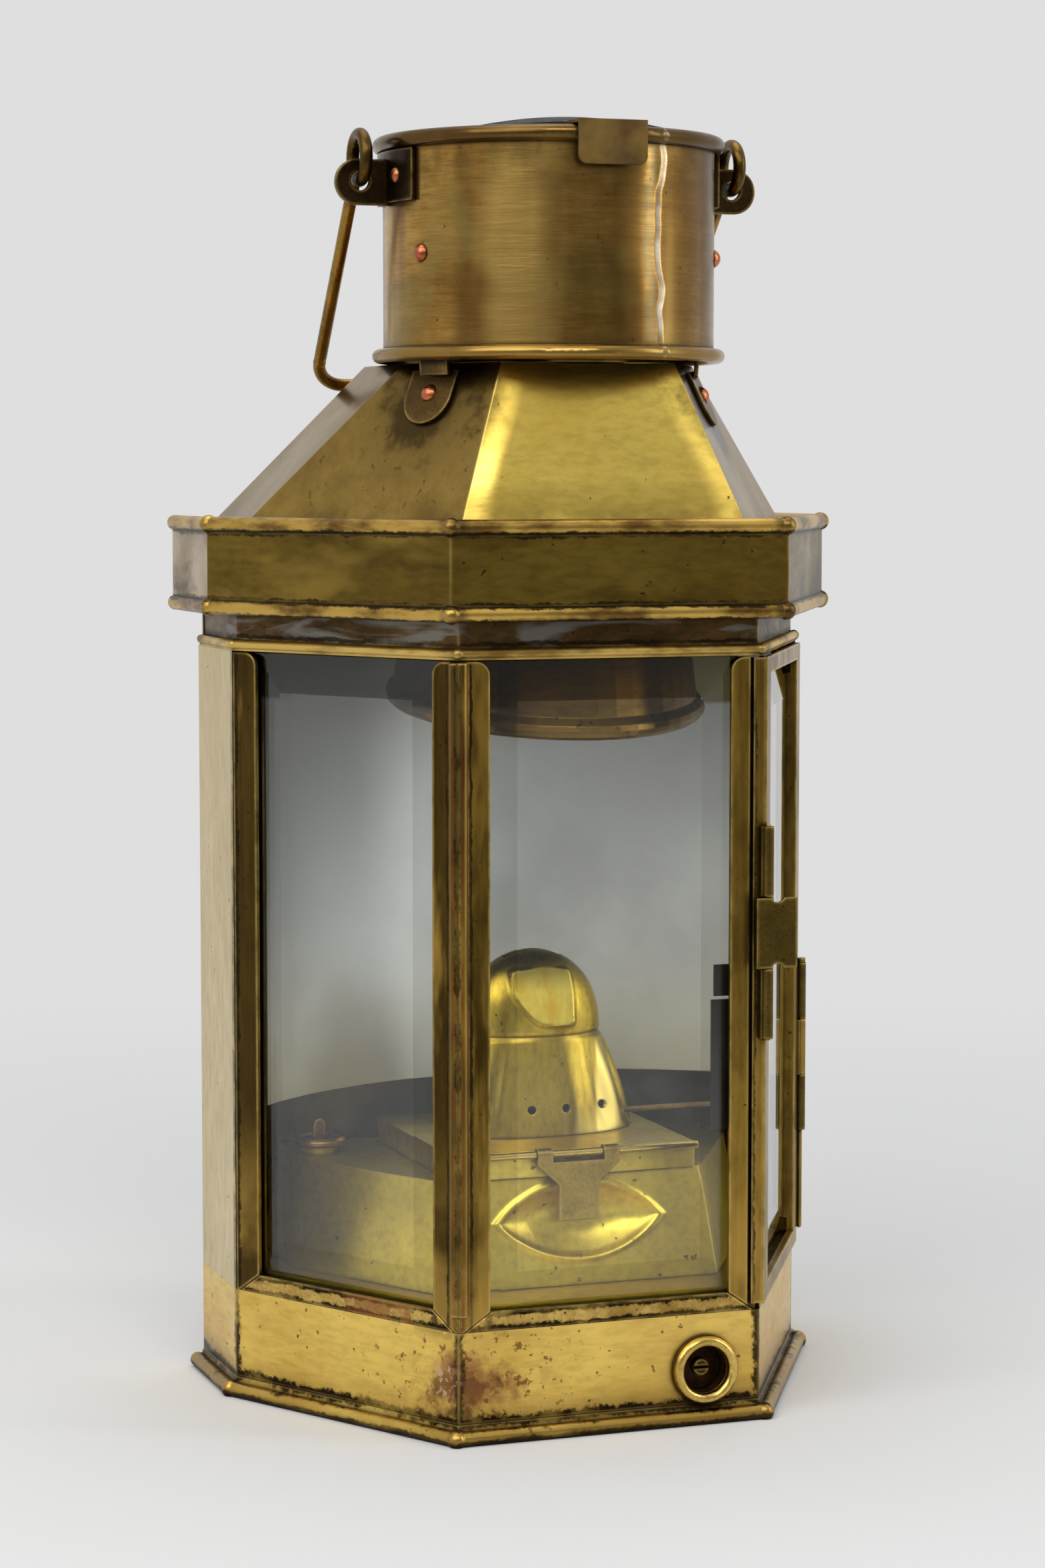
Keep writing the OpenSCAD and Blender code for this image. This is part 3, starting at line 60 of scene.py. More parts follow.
ROOF_LOW, ROOF_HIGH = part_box("roof")
PANEL_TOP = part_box("base_panels")[1].z
DOME_LOW, DOME_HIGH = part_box("dome")
FONT_LOW, FONT_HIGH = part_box("font")
LEFT_FACE = (-0.866, -0.5, 0)      # ways that the slanted faces look
RIGHT_FACE = (0.866, -0.5, 0)


# Node helpers ----------------------------------------------------------------
def srgb(red, green, blue):
    """Linear colour of a display colour given as 0 to 255."""
    def one(v):
        v /= 255
        return v / 12.92 if v <= 0.04045 else ((v + 0.055) / 1.055) ** 2.4
    return (one(red), one(green), one(blue))


GRIME = srgb(36, 26, 14)
GOLD = srgb(226, 192, 108)
ALONG = (0.3, 0.3, 1)              # stretch of marks drawn out along the faces
DOWN = (0, 0, 1)                   # stretch of marks that change with height alone


class Graph:
    """The nodes of a material or world, with short ways to add and join them."""

    def __init__(self, owner, output="ShaderNodeOutputMaterial"):
        owner.use_nodes = True
        self.owner = owner
        self.tree = owner.node_tree
        self.tree.nodes.clear()
        self.output = self.add(output)
        self.place = None

    def add(self, kind, **values):
        node = self.tree.nodes.new(kind)
        for key, value in values.items():
            setattr(node, key, value)
        return node

    def put(self, socket, value):
        if hasattr(value, "is_output"):
            self.tree.links.new(value, socket)
        elif isinstance(value, tuple) and len(value) == 3 and socket.type == "RGBA":
            socket.default_value = (*value, 1.0)
        else:
            socket.default_value = value

    def fill(self, node, **values):
        """Sets inputs by name; an underscore stands for a space."""
        for key, value in values.items():
            self.put(node.inputs[key.replace("_", " ")], value)
        return node

    def coords(self, stretch=(1, 1, 1)):
        mapping = self.add("ShaderNodeMapping")
        self.put(mapping.inputs["Vector"], self.add("ShaderNodeTexCoord").outputs["Object"])
        mapping.inputs["Scale"].default_value = stretch
        return mapping.outputs["Vector"]

    def noise(self, scale, detail, rough, stretch=(1, 1, 1), warp=0.0):
        node = self.add("ShaderNodeTexNoise")
        self.fill(node, Vector=self.coords(stretch), Scale=scale, Detail=detail,
                  Roughness=rough, Distortion=warp)
        return node.outputs["Fac"]

    def ramp(self, value, low, high, out_low=0.0, out_high=1.0):
        node = self.add("ShaderNodeMapRange", interpolation_type="SMOOTHSTEP")
        self.fill(node, Value=value, From_Min=low, From_Max=high, To_Min=out_low, To_Max=out_high)
        return node.outputs["Result"]

    def cloud(self, scale, detail, rough, low, high, out_low=0.0, out_high=1.0,
              stretch=(1, 1, 1), warp=0.0):
        """Noise whose values from low to high are spread over another range."""
        noise = self.noise(scale, detail, rough, stretch, warp)
        return self.ramp(noise, low, high, out_low, out_high)

    def math(self, operation, a, b=0.0, clamp=False):
        node = self.add("ShaderNodeMath", operation=operation, use_clamp=clamp)
        self.put(node.inputs[0], a)
        self.put(node.inputs[1], b)
        return node.outputs[0]

    def vector(self, operation, a, b=None):
        node = self.add("ShaderNodeVectorMath", operation=operation)
        self.put(node.inputs[0], a)
        if b is not None:
            self.put(node.inputs[1], b)
        return node.outputs["Value"]

    def chain(self, operation, values):
        result = values[0]
        for value in values[1:]:
            result = self.math(operation, result, value)
        return result

    def times(self, *values):
        return self.chain("MULTIPLY", values)

    def most(self, *values):
        return self.chain("MAXIMUM", values)

    def mix(self, factor, a, b):
        node = self.add("ShaderNodeMix", data_type="RGBA")
        self.fill(node, Factor=factor, A=a, B=b)
        return node.outputs["Result"]

    def tint(self, color, display, *masks):
        """Mixes a display colour in, by the product of the masks."""
        return self.mix(self.times(*masks), color, srgb(*display))

    def crevice(self, reach, samples=8):
        node = self.add("ShaderNodeAmbientOcclusion", samples=samples, only_local=False)
        node.inputs["Distance"].default_value = reach
        return node.outputs["AO"]

    def bump(self, height, strength, distance, normal):
        node = self.add("ShaderNodeBump")
        self.fill(node, Height=height, Strength=strength, Distance=distance, Normal=normal)
        return node.outputs["Normal"]

    def xyz(self):
        """Coordinates of the point in the frame of its own part, in metres."""
        if self.place is None:
            node = self.add("ShaderNodeSeparateXYZ")
            self.put(node.inputs[0], self.coords())
            self.place = node.outputs
        return self.place

    def within(self, value, low, high, soft):
        """1 where value lies between low and high, with soft ends."""
        rise = self.ramp(value, low - soft, low + soft)
        fall = self.ramp(value, high - soft, high + soft, 1.0, 0.0)
        return self.times(rise, fall)

    def facing(self, direction, low, high):
        """1 where the surface of the part faces a direction of the frame."""
        length = math.sqrt(sum(c * c for c in direction))
        normal = self.add("ShaderNodeTexCoord").outputs["Normal"]
        return self.ramp(self.vector("DOT_PRODUCT", normal, tuple(c / length for c in direction)),
                         low, high)

    def far(self, point, stretch):
        """Distance from a point, with the axes stretched; a stretch of 0 leaves an axis out."""
        target = tuple(p * k for p, k in zip(point, stretch))
        return self.vector("DISTANCE", self.coords(stretch), target)

    def beside(self, edge):
        """Distance from an upright edge of the case, given as (x, y)."""
        return self.far((*edge, 0), (1, 1, 0))

    def near(self, point, radius, soft, ragged=0.0, scale=90.0, stretch=(1, 1, 1)):
        """1 within radius of a point, fading to 0; ragged shifts the edge by noise."""
        distance = self.far(point, stretch)
        if ragged:
            swing = self.cloud(scale, 5.0, 0.65, 0.3, 0.7, -ragged, ragged)
            distance = self.math("ADD", distance, swing)
        return self.ramp(distance, radius * soft, radius, 1.0, 0.0)

    def rounding(self, radius, wide):
        """Normal that rounds sharp edges, and how near the point is to an edge."""
        bevels = []
        for reach in (radius, wide):
            bevel = self.add("ShaderNodeBevel", samples=4)
            bevel.inputs["Radius"].default_value = reach
            bevels.append(bevel.outputs["Normal"])
        true_normal = self.add("ShaderNodeNewGeometry").outputs["Normal"]
        turn = self.vector("DOT_PRODUCT", bevels[1], true_normal)
        return bevels[0], self.ramp(turn, 0.86, 0.99, 1.0, 0.0)

    def seam(self, color, value, at, half, depth=0.85):
        """Draws a ragged dark line where value is near a level."""
        ragged = self.cloud(110, 8.0, 0.8, 0.3, 0.7, -0.9 * half, 0.9 * half)
        line = self.within(self.math("ADD", value, ragged), at - half, at + half, 0.35 * half)
        patchy = self.cloud(48, 5.0, 0.7, 0.34, 0.52, 0.45, 1.0)
        return self.mix(self.times(line, patchy, depth), color, GRIME)

    def rays(self, *kinds):
        """1 for rays of the kinds named."""
        path = self.add("ShaderNodeLightPath")
        return self.most(*[path.outputs["Is %s Ray" % kind] for kind in kinds])

    def shader(self, color, rough, metal, normal):
        node = self.add("ShaderNodeBsdfPrincipled")
        self.fill(node, Base_Color=color, Roughness=rough, Metallic=metal, Normal=normal)
        self.put(self.output.inputs["Surface"], node.outputs["BSDF"])

    def blend(self, factor, first, second):
        """Shows the first shader where factor is 0 and the second where it is 1."""
        node = self.add("ShaderNodeMixShader")
        self.put(node.inputs["Fac"], factor)
        self.put(node.inputs[1], first.outputs[0])
        self.put(node.inputs[2], second.outputs[0])
        self.put(self.output.inputs["Surface"], node.outputs["Shader"])


def new_graph(name):
    return Graph(bpy.data.materials.new(name))


def brass(name, clean, tarnish, patch=0.5, rough=(0.24, 0.40), grain=(1, 1, 1), scale=14.0,
          seam=0.9, pits=0.3, waves=0.5, rub=0.6, reach=5.0, streaks=0.38,
          extra=None, relief=None):
    """Worn brass: patches of two tones, brushing, pits, dark seams, rubbed edges, a wavy sheet."""
    g = new_graph(name)
    clean, tarnish = srgb(*clean), srgb(*tarnish)
    patches = g.noise(scale, 5.0, 0.62, warp=0.6)
    streak = g.noise(scale * 5, 6.0, 0.7, grain)
    fine = g.noise(scale * 40, 3.0, 0.6, grain)
    tone = g.math("ADD", g.times(patches, 1 - streaks), g.times(streak, streaks))
    middle = 0.5 - (patch - 0.5) * 0.3
    color = g.mix(g.ramp(tone, middle - 0.14, middle + 0.14), clean, tarnish)
    color = g.mix(g.ramp(fine, 0.35, 0.75, 0.0, 0.3), color, tuple(c * 0.5 for c in tarnish))
    pit = g.cloud(scale * 30, 2.0, 0.5, 0.71 - 0.06 * pits, 0.76 - 0.06 * pits, 0.0, 0.8)
    color = g.mix(pit, color, GRIME)
    if extra:
        color = extra(g, color)
    round_normal, bend = g.rounding(0.6 * MM, 1.5 * MM)
    wide = g.crevice(reach * MM)
    tight = g.crevice(1.4 * MM, 6)
    worn = g.times(bend, g.ramp(tight, 0.72, 0.95),
                   g.cloud(scale * 7, 4.0, 0.6, 0.32, 0.6, 0.25, 1.0))
    color = g.mix(g.times(worn, rub), color, GOLD)
    dirt = g.times(g.ramp(wide, 0.35, 0.97, 1.0, 0.0),
                   g.cloud(scale * 6, 4.0, 0.6, 0.3, 0.62, 0.4, 1.0))
    line = g.ramp(tight, 0.45, 0.9, 1.0, 0.0)
    soil_and_shade = g.most(g.times(dirt, seam), g.times(line, min(1.0, seam + 0.05)))
    color = g.mix(soil_and_shade, color, GRIME)
    roughness = g.math("ADD", g.ramp(tone, 0.3, 0.7, *rough), g.times(soil_and_shade, 0.3), clamp=True)
    normal = g.bump(g.noise(scale * 1.6, 2.0, 0.4), 0.12 * waves, 6 * MM, round_normal)
    normal = g.bump(g.noise(scale * 9, 3.0, 0.5, grain), 0.05, 1.5 * MM, normal)
    if relief:
        normal = g.bump(relief(g), 1.0, 1 * MM, normal)
    g.shader(color, roughness, 1.0, g.bump(fine, 0.07, 0.4 * MM, normal))
    return g.owner


def glass(name):
    """Clear old glass, a little clouded, its bevelled border painted darker as painted shade,
    brown at the head as painted refraction of the brass.
    """
    g = new_graph(name)
    ways = ((0, -1, 0), LEFT_FACE, RIGHT_FACE, (0, 1, 0), (0.866, 0.5, 0), (-0.866, 0.5, 0))
    flat = g.most(*[g.facing(way, 0.9985, 0.9995) for way in ways])
    # The bevelled border is painted darker than the flat faces, as painted shade.
    tint = g.mix(flat, srgb(216, 217, 212), srgb(250, 251, 250))
    x, _, z = g.xyz()
    pane_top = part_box("glass_front")[1].z
    # The stain is painted refraction: the bevel at the head is painted brown, and olive on the
    # left pane, for the brass seen through it.
    head = g.times(g.math("SUBTRACT", 1.0, flat),
                   g.ramp(z, pane_top - 14 * MM, pane_top - 12.5 * MM))
    stain = g.mix(g.cloud(26, 4.0, 0.6, 0.35, 0.65), srgb(146, 122, 50), srgb(112, 96, 48))
    stain = g.tint(stain, (84, 86, 70), g.ramp(x, -43 * MM, -46 * MM))
    pane = g.fill(g.add("ShaderNodeBsdfPrincipled"), Base_Color=g.mix(head, tint, stain),
                  Transmission_Weight=1.0, IOR=1.06, Coat_Weight=1.0, Coat_IOR=1.5,
                  Coat_Roughness=0.015, Roughness=g.cloud(60, 5.0, 0.6, 0.5, 0.8, 0.0, 0.05))
    clear = g.fill(g.add("ShaderNodeBsdfTransparent"), Color=srgb(242, 246, 244))
    g.blend(g.rays("Shadow", "Diffuse"), pane, clear)
    return g.owner


def plain(name, dark, light, rough, metal, scale, bump, seam=0.6, extra=None):
    """A surface of two near tones, for soot, tin and cotton."""
    g = new_graph(name)
    dark, light = srgb(*dark), srgb(*light)
    tone = g.cloud(scale, 6.0, 0.65, 0.32, 0.68)
    color = g.mix(tone, dark, light)
    round_normal, bend = g.rounding(0.6 * MM, 0.8 * MM)
    color = g.mix(g.times(bend, 0.3), color, tuple(min(1.0, c * 1.5 + 0.02) for c in light))
    if extra:
        color = extra(g, color)
    dirt = g.ramp(g.crevice(5 * MM), 0.3, 0.95, 1.0, 0.0)
    color = g.mix(g.times(dirt, seam), color, GRIME)
    normal = g.bump(g.noise(scale * 3, 4.0, 0.6), bump, 1 * MM, round_normal)
    g.shader(color, g.ramp(tone, 0, 1, *rough), metal, normal)
    return g.owner


# What single parts show ------------------------------------------------------
def chimney_wander(g):
    """How far the chimney's folds stray sideways at a height."""
    return g.cloud(40, 2.0, 0.5, 0.3, 0.7, -1.6 * MM, 1.6 * MM, DOWN)


def chimney_marks(g, color):
    """Upright painted streaks of reflection, olive clouds, a wavy painted highlight streak, softer
    painted bands of light and shade, a dark top and rim.
    """
    x, y, z = g.xyz()
    # The upright light and dark streaks are painted reflection.
    tall = g.noise(46, 2.0, 0.5, (1, 1, 0.1))
    color = g.tint(color, (88, 64, 30), g.ramp(tall, 0.52, 0.66, 0.0, 0.7))
    color = g.tint(color, (208, 172, 96), g.ramp(tall, 0.46, 0.36, 0.0, 0.6))
    color = g.tint(color, (140, 126, 70), g.cloud(24, 4.0, 0.6, 0.52, 0.66, 0.0, 0.45))
    side = g.math("ADD", x, chimney_wander(g))
    front = g.ramp(y, 0, -20 * MM)
    broken = g.cloud(50, 3.0, 0.6, 0.4, 0.6, 0.2, 0.95, DOWN)
    shade_breakup = g.cloud(34, 5.0, 0.65, 0.34, 0.6, 0.3, 1.0)
    # Upright bands of painted highlight, painted shade and painted reflection on the front, in
    # millimetres: from, to, softness of the ends, colour, strengths
    bands = ((16.2, 17.5, 0.6, (252, 244, 222), (broken,)),
             (11.8, 15.2, 0.9, (96, 92, 66), (0.6,)),
             (21, 34, 3.0, (110, 82, 40), (0.45,)),
             (-31, -15, 3.5, (220, 184, 104), (0.45,)),
             (-10, 6, 4.0, (88, 66, 26), (shade_breakup, 0.6)))
    for low, high, soft, display, strengths in bands:
        band = g.within(side, low * MM, high * MM, soft * MM)
        color = g.tint(color, display, band, front, *strengths)
    upper = g.ramp(z, CHIMNEY_HIGH.z - 22 * MM, CHIMNEY_HIGH.z - 8 * MM)
    color = g.tint(color, (78, 60, 28), upper, g.cloud(70, 4.0, 0.6, 0.35, 0.6), 0.5)
    ring = g.within(z, CHIMNEY_LOW.z - 1 * MM, CHIMNEY_LOW.z + 4.6 * MM, 0.5 * MM)
    color = g.tint(color, (150, 120, 62), ring, 0.75)
    rim = g.ramp(z, CHIMNEY_HIGH.z - 4.8 * MM, CHIMNEY_HIGH.z - 4.0 * MM)
    return g.tint(color, (88, 66, 34), rim, 0.85)


def chimney_dents(g):
    """Low upright ridges, a fold and a dent in the tube, in millimetres."""
    tall = g.cloud(36, 1.0, 0.4, 0.3, 0.7, 0.0, 0.9, (1, 1, 0.12))
    side = g.math("ADD", g.xyz()[0], chimney_wander(g))
    fold = g.ramp(side, 15.4 * MM, 18.2 * MM, 0.0, 0.6)
    dent = g.near((14 * MM, AXIS_Y - 45 * MM, CHIMNEY_LOW.z + 36 * MM), 16 * MM, 0.1)
    return g.math("ADD", g.math("ADD", tall, fold), g.times(dent, -0.5))


def roof_pillow(g):
    """Each edge of the front facet is a little rolled, in millimetres."""
    x, _, z = g.xyz()
    half = g.ramp(z, ROOF_LOW.z, ROOF_HIGH.z, 44.5 * MM, 26 * MM)
    edge = g.math("DIVIDE", g.math("ABSOLUTE", x), half)
    fall = g.ramp(z, ROOF_LOW.z + 4 * MM, ROOF_HIGH.z - 6 * MM, 1.0, 0.3)
    sides = g.times(g.ramp(edge, 0.72, 1.02, 0.0, -1.3), fall)
    foot = g.ramp(z, ROOF_LOW.z + 12 * MM, ROOF_LOW.z, 0.0, -0.7)
    sag = g.cloud(16, 1.0, 0.4, 0.3, 0.7, 0.0, 0.9)
    return g.math("ADD", g.math("ADD", sides, foot), sag)


def roof_marks(g, color):
    """Bright front facet, side facets painted darker as painted shade and mottled, a dark stain
    round the straps.
    """
    shaded_mottle = g.mix(g.cloud(60, 6.0, 0.7, 0.3, 0.7), srgb(158, 130, 66), srgb(130, 104, 52))
    rust = g.cloud(30, 5.0, 0.6, 0.58, 0.72, 0.0, 0.3)
    shaded_mottle = g.tint(shaded_mottle, (84, 62, 34), g.cloud(420, 2.0, 0.5, 0.66, 0.71, 0.0, 0.55))
    shaded_mottle = g.tint(shaded_mottle, (122, 86, 46), rust)
    # The side facets get the darker colour as painted shade; the front facet keeps the bright one.
    color = g.mix(g.facing((0, -1, 0.35), 0.90, 0.97), shaded_mottle, color)
    for side in (-1, 1):
        spot = (side * 40 * MM, AXIS_Y - 15 * MM, ROOF_HIGH.z - 9 * MM)
        color = g.tint(color, (50, 38, 20), g.near(spot, 27 * MM, 0.4, 9 * MM, 60), 0.85)
    low = g.ramp(g.xyz()[2], ROOF_LOW.z + 7 * MM, ROOF_LOW.z + 1 * MM)
    return g.tint(color, (110, 84, 44), low, g.cloud(60, 4.0, 0.6, 0.35, 0.6), 0.45)


def brim_marks(g, color):
    """Golden wires with dark collars, pinkish ends as painted reflection, dark olive between, the
    left face painted darker as painted shade.
    """
    z = g.xyz()[2]
    wire_top, line_at = 4.2 * MM, 4.8 * MM
    low = g.within(z, BRIM_LOW.z - 1 * MM, BRIM_LOW.z + wire_top, 0.3 * MM)
    high = g.within(z, BRIM_HIGH.z - wire_top, BRIM_HIGH.z + 1 * MM, 0.3 * MM)
    wire = g.most(low, high)
    # The ends are painted pale pink, as painted reflection.
    ends = g.most(g.facing((-1, 0, 0), 0.93, 0.98), g.facing((1, 0, 0), 0.93, 0.98))
    reflected_pink = g.mix(g.cloud(40, 5.0, 0.6, 0.35, 0.65), srgb(196, 176, 150), srgb(148, 126, 92))
    color = g.mix(ends, color, reflected_pink)
    cloudy = g.cloud(34, 4.0, 0.6, 0.52, 0.66, 0.0, 0.75, (0.5, 0.5, 1.6))
    color = g.tint(color, (62, 48, 22), cloudy)
    clear = g.cloud(26, 4.0, 0.6, 0.56, 0.7, 0.0, 0.7, (0.5, 0.5, 1.2))
    color = g.tint(color, (178, 148, 68), clear)
    gilt = g.mix(g.cloud(120, 5.0, 0.6, 0.42, 0.66, stretch=ALONG),
                 srgb(206, 168, 84), srgb(104, 76, 36))
    color = g.mix(g.times(wire, 0.9), color, gilt)
    color = g.seam(color, z, BRIM_LOW.z + line_at, 0.8 * MM, 0.95)
    color = g.seam(color, z, BRIM_HIGH.z - line_at, 0.8 * MM, 0.95)
    color = g.seam(color, z, BRIM_LOW.z + 0.4 * MM, 0.7 * MM, 0.9)
    # The left face is painted darker, as painted shade.
    left = g.facing(LEFT_FACE, 0.9, 0.98)
    color = g.tint(color, (58, 44, 16), left, g.math("SUBTRACT", 1.0, wire), 0.35)
    for corner in (-FRONT_HALF, FRONT_HALF):
        for level in (BRIM_LOW.z + 2.2 * MM, BRIM_HIGH.z - 2.2 * MM):
            spot = (corner + math.copysign(3 * MM, corner), FRONT_Y - 6.5 * MM, level)
            color = g.tint(color, (60, 44, 28), g.near(spot, 5 * MM, 0.5), 0.75)
    return color


def frieze_marks(g, color):
    """Grey solder smears over dark brown, and a bright lower bead."""
    z = g.xyz()[2]
    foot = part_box("frieze")[0].z
    smear = g.cloud(60, 4.0, 0.55, 0.52, 0.62, 0.0, 0.85, (0.35, 0.35, 1.5), 0.8)
    color = g.tint(color, (128, 126, 116), smear)
    color = g.tint(color, (138, 88, 48), g.cloud(34, 4.0, 0.6, 0.58, 0.72, 0.0, 0.5))
    bead = g.ramp(z, foot + 3.9 * MM, foot + 3.2 * MM)
    gilt = g.mix(g.cloud(110, 5.0, 0.6, 0.45, 0.66, stretch=ALONG),
                 srgb(226, 190, 104), srgb(128, 98, 46))
    color = g.mix(g.times(bead, 0.9), color, gilt)
    return g.seam(color, z, foot + 4.1 * MM, 0.6 * MM)


def base_marks(g, color):
    """A brown stain with pale spots at the front corner, grime along seams and foot, painted shade
    towards the foot.
    """
    z = g.xyz()[2]
    flat = (1, 1, 1.9)
    x, y = CORNER
    brown = g.near((x + 2 * MM, y, 17 * MM), 22 * MM, 0.12, 10 * MM, 100, flat)
    color = g.tint(color, (156, 100, 66), brown, 0.75)
    deep = g.near((x + 3 * MM, y, 15 * MM), 15 * MM, 0.15, 9 * MM, 140, flat)
    color = g.tint(color, (104, 62, 42), deep, 0.75)
    around = g.near((x, y, 19 * MM), 42 * MM, 0.6)
    color = g.tint(color, (118, 76, 40), around, g.cloud(380, 3.0, 0.6, 0.62, 0.65), 0.8)
    drop = g.near((x, y, 8 * MM), 5 * MM, 0.3, 3 * MM, 150)
    color = g.tint(color, (70, 48, 24), drop, 0.8)
    spots = g.near((x - 5 * MM, y + 3 * MM, 17 * MM), 7 * MM, 0.6, 2 * MM, 200)
    color = g.tint(color, (206, 178, 150), spots, g.cloud(420, 3.0, 0.7, 0.5, 0.56), 0.85)
    color = g.tint(color, (214, 166, 96), g.cloud(22, 3.0, 0.5, 0.55, 0.7, 0.0, 0.35))
    drip = g.ramp(z, PANEL_TOP - 5 * MM, PANEL_TOP)
    color = g.tint(color, (60, 52, 30), drip, g.cloud(110, 5.0, 0.65, 0.45, 0.55), 0.8)
    weep = g.times(g.ramp(g.beside(CORNER), 26 * MM, 6 * MM),
                   g.ramp(z, PANEL_TOP - 9 * MM, PANEL_TOP - 1 * MM))
    color = g.tint(color, (44, 40, 28), weep, g.cloud(140, 5.0, 0.65, 0.46, 0.54), 0.85)
    # The panels darken towards the foot as painted shade, broken up by streaks.
    soil_and_shade = g.cloud(30, 3.0, 0.55, 0.35, 0.6, 0.35, 1.0, ALONG)
    color = g.tint(color, (120, 90, 42), g.ramp(z, 15 * MM, 5 * MM), soil_and_shade, 0.7)
    color = g.seam(color, z, PANEL_TOP - 0.3 * MM, 1.2 * MM, 1.0)
    color = g.seam(color, z, 6.0 * MM, 1.5 * MM, 1.0)
    color = g.seam(color, z, 1.0 * MM, 0.9 * MM, 0.8)
    for edge in (CORNER, RIGHT_CORNER, LEFT_EDGE, RIGHT_EDGE):
        color = g.seam(color, g.beside(edge), 0.0, 1.6 * MM, 0.95)
    return color


def rail_marks(g, color):
    """Dark lines along both edges of the sill rails and a reddish worn patch."""
    z = g.xyz()[2]
    low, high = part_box("sill_rails")
    color = g.seam(color, z, low.z + 0.5 * MM, 1.0 * MM, 1.0)
    color = g.seam(color, z, high.z - 0.5 * MM, 0.9 * MM, 1.0)
    scratch = g.cloud(240, 3.0, 0.5, 0.58, 0.66, 0.0, 0.7, (0.12, 0.12, 1))
    color = g.tint(color, (74, 56, 26), scratch)
    color = g.seam(color, g.beside(CORNER), 8.6 * MM, 1.2 * MM, 0.8)
    patch = ((CORNER[0] * 2 - 24 * MM) / 2 - 6 * MM, FRONT_Y + 27 * MM, (low.z + high.z) / 2)
    return g.tint(color, (132, 78, 46), g.near(patch, 15 * MM, 0.3, 10 * MM, 90), 0.7)


def post_marks(g, color):
    """Dark grooves beside the corners, upright golden streaks, the left faces painted darker as
    painted shade.
    """
    # The left faces are painted darker, as painted shade.
    color = g.tint(color, (52, 38, 12), g.facing(LEFT_FACE, 0.9, 0.98), 0.5)
    groove = g.cloud(260, 2.0, 0.4, 0.56, 0.66, 0.0, 0.55, (1, 1, 0.02))
    color = g.tint(color, (50, 36, 14), groove)
    gold = g.cloud(60, 4.0, 0.6, 0.54, 0.68, 0.0, 0.75, (1, 1, 0.18))
    color = g.tint(color, (176, 140, 62), gold)
    foot = g.ramp(g.xyz()[2], 90 * MM, 45 * MM)
    color = g.tint(color, (198, 160, 80), foot, g.cloud(40, 3.0, 0.5, 0.35, 0.6), 0.5)
    reed = g.beside(CORNER)
    color = g.seam(color, reed, 3.7 * MM, 0.45 * MM, 0.9)
    color = g.tint(color, (168, 132, 70), g.within(reed, 2.0 * MM, 2.9 * MM, 0.3 * MM), 0.5)
    red = g.within(reed, 1.0 * MM, 1.9 * MM, 0.3 * MM)
    color = g.tint(color, (112, 54, 30), red, g.cloud(60, 3.0, 0.5, 0.4, 0.6), 0.6)
    color = g.seam(color, reed, 0.0, 0.8 * MM, 0.9)
    color = g.seam(color, g.beside(LEFT_EDGE), 1.2 * MM, 0.9 * MM, 0.9)
    return g.seam(color, g.beside(RIGHT_CORNER), 2.6 * MM, 0.6 * MM, 0.9)


def side_marks(g, color):
    """A ragged black band along the front edge of the straight sides, the sheet duller towards the
    top as painted reflection.
    """
    _, y, z = g.xyz()
    edge = g.ramp(y, SIDE_Y + 3.2 * MM, SIDE_Y + 0.8 * MM)
    ragged = g.cloud(90, 5.0, 0.65, 0.36, 0.56, 0.25, 1.0)
    color = g.tint(color, (34, 28, 20), edge, ragged, 0.9)
    # Duller towards the top, as part of the painted reflection.
    return g.tint(color, (196, 180, 128), g.ramp(z, 120 * MM, 210 * MM), 0.35)


def strap_marks(g, color):
    """The leg behind the foot ring lies in the dark."""
    dark = g.ramp(g.xyz()[2], ROOF_HIGH.z - 1.5 * MM, ROOF_HIGH.z + 0.5 * MM)
    return g.tint(color, (30, 24, 16), dark)


def back_marks(g, color):
    """Inside the case the back sheet is grey, in darker clouds."""
    cloudy = g.mix(g.cloud(40, 4.0, 0.6, 0.35, 0.65), srgb(96, 98, 98), srgb(62, 62, 60))
    return g.mix(g.facing((0, -1, 0), 0.5, 0.8), color, cloudy)


def tin_marks(g, color):
    """The reflector is painted darker at its upper left and greyer at its top as painted shade,
    yellower at its foot.
    """
    x, _, z = g.xyz()
    left = g.ramp(x, -14 * MM, -48 * MM)
    # Painted shade at the upper left and towards the top.
    color = g.tint(color, (104, 105, 100), left, g.ramp(z, 70 * MM, 190 * MM), 0.8)
    color = g.tint(color, (160, 160, 158), g.ramp(z, 150 * MM, 215 * MM), 0.25)
    return g.tint(color, (214, 210, 186), g.ramp(z, 125 * MM, 90 * MM), 0.4)


def cover_marks(g, color):
    """The tab over the rim is brass; the rest is blackened."""
    x, y, _ = g.xyz()
    tab_half = 10.3 * MM
    tab = g.times(g.ramp(y, -41.5 * MM, -42.5 * MM), g.within(x, -tab_half, tab_half, 0.1 * MM))
    worn = g.mix(g.cloud(60, 3.0, 0.5, 0.35, 0.65), srgb(128, 102, 48), srgb(84, 62, 30))
    return g.mix(tab, color, worn)


def bail_marks(g, color):
    """The eyes are nearly black with handling dirt."""
    for side in (-1, 1):
        eye = (side * 57 * MM, AXIS_Y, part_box("ear_left")[0].z + 9 * MM)
        color = g.tint(color, (58, 42, 20), g.near(eye, 15 * MM, 0.7), 0.7)
    return color


DOME_CREASE = DOME_LOW.z + 29.4 * MM
PAD_WAY = (0.03, -0.951, 0.309)    # way that the flat pad of the crown looks


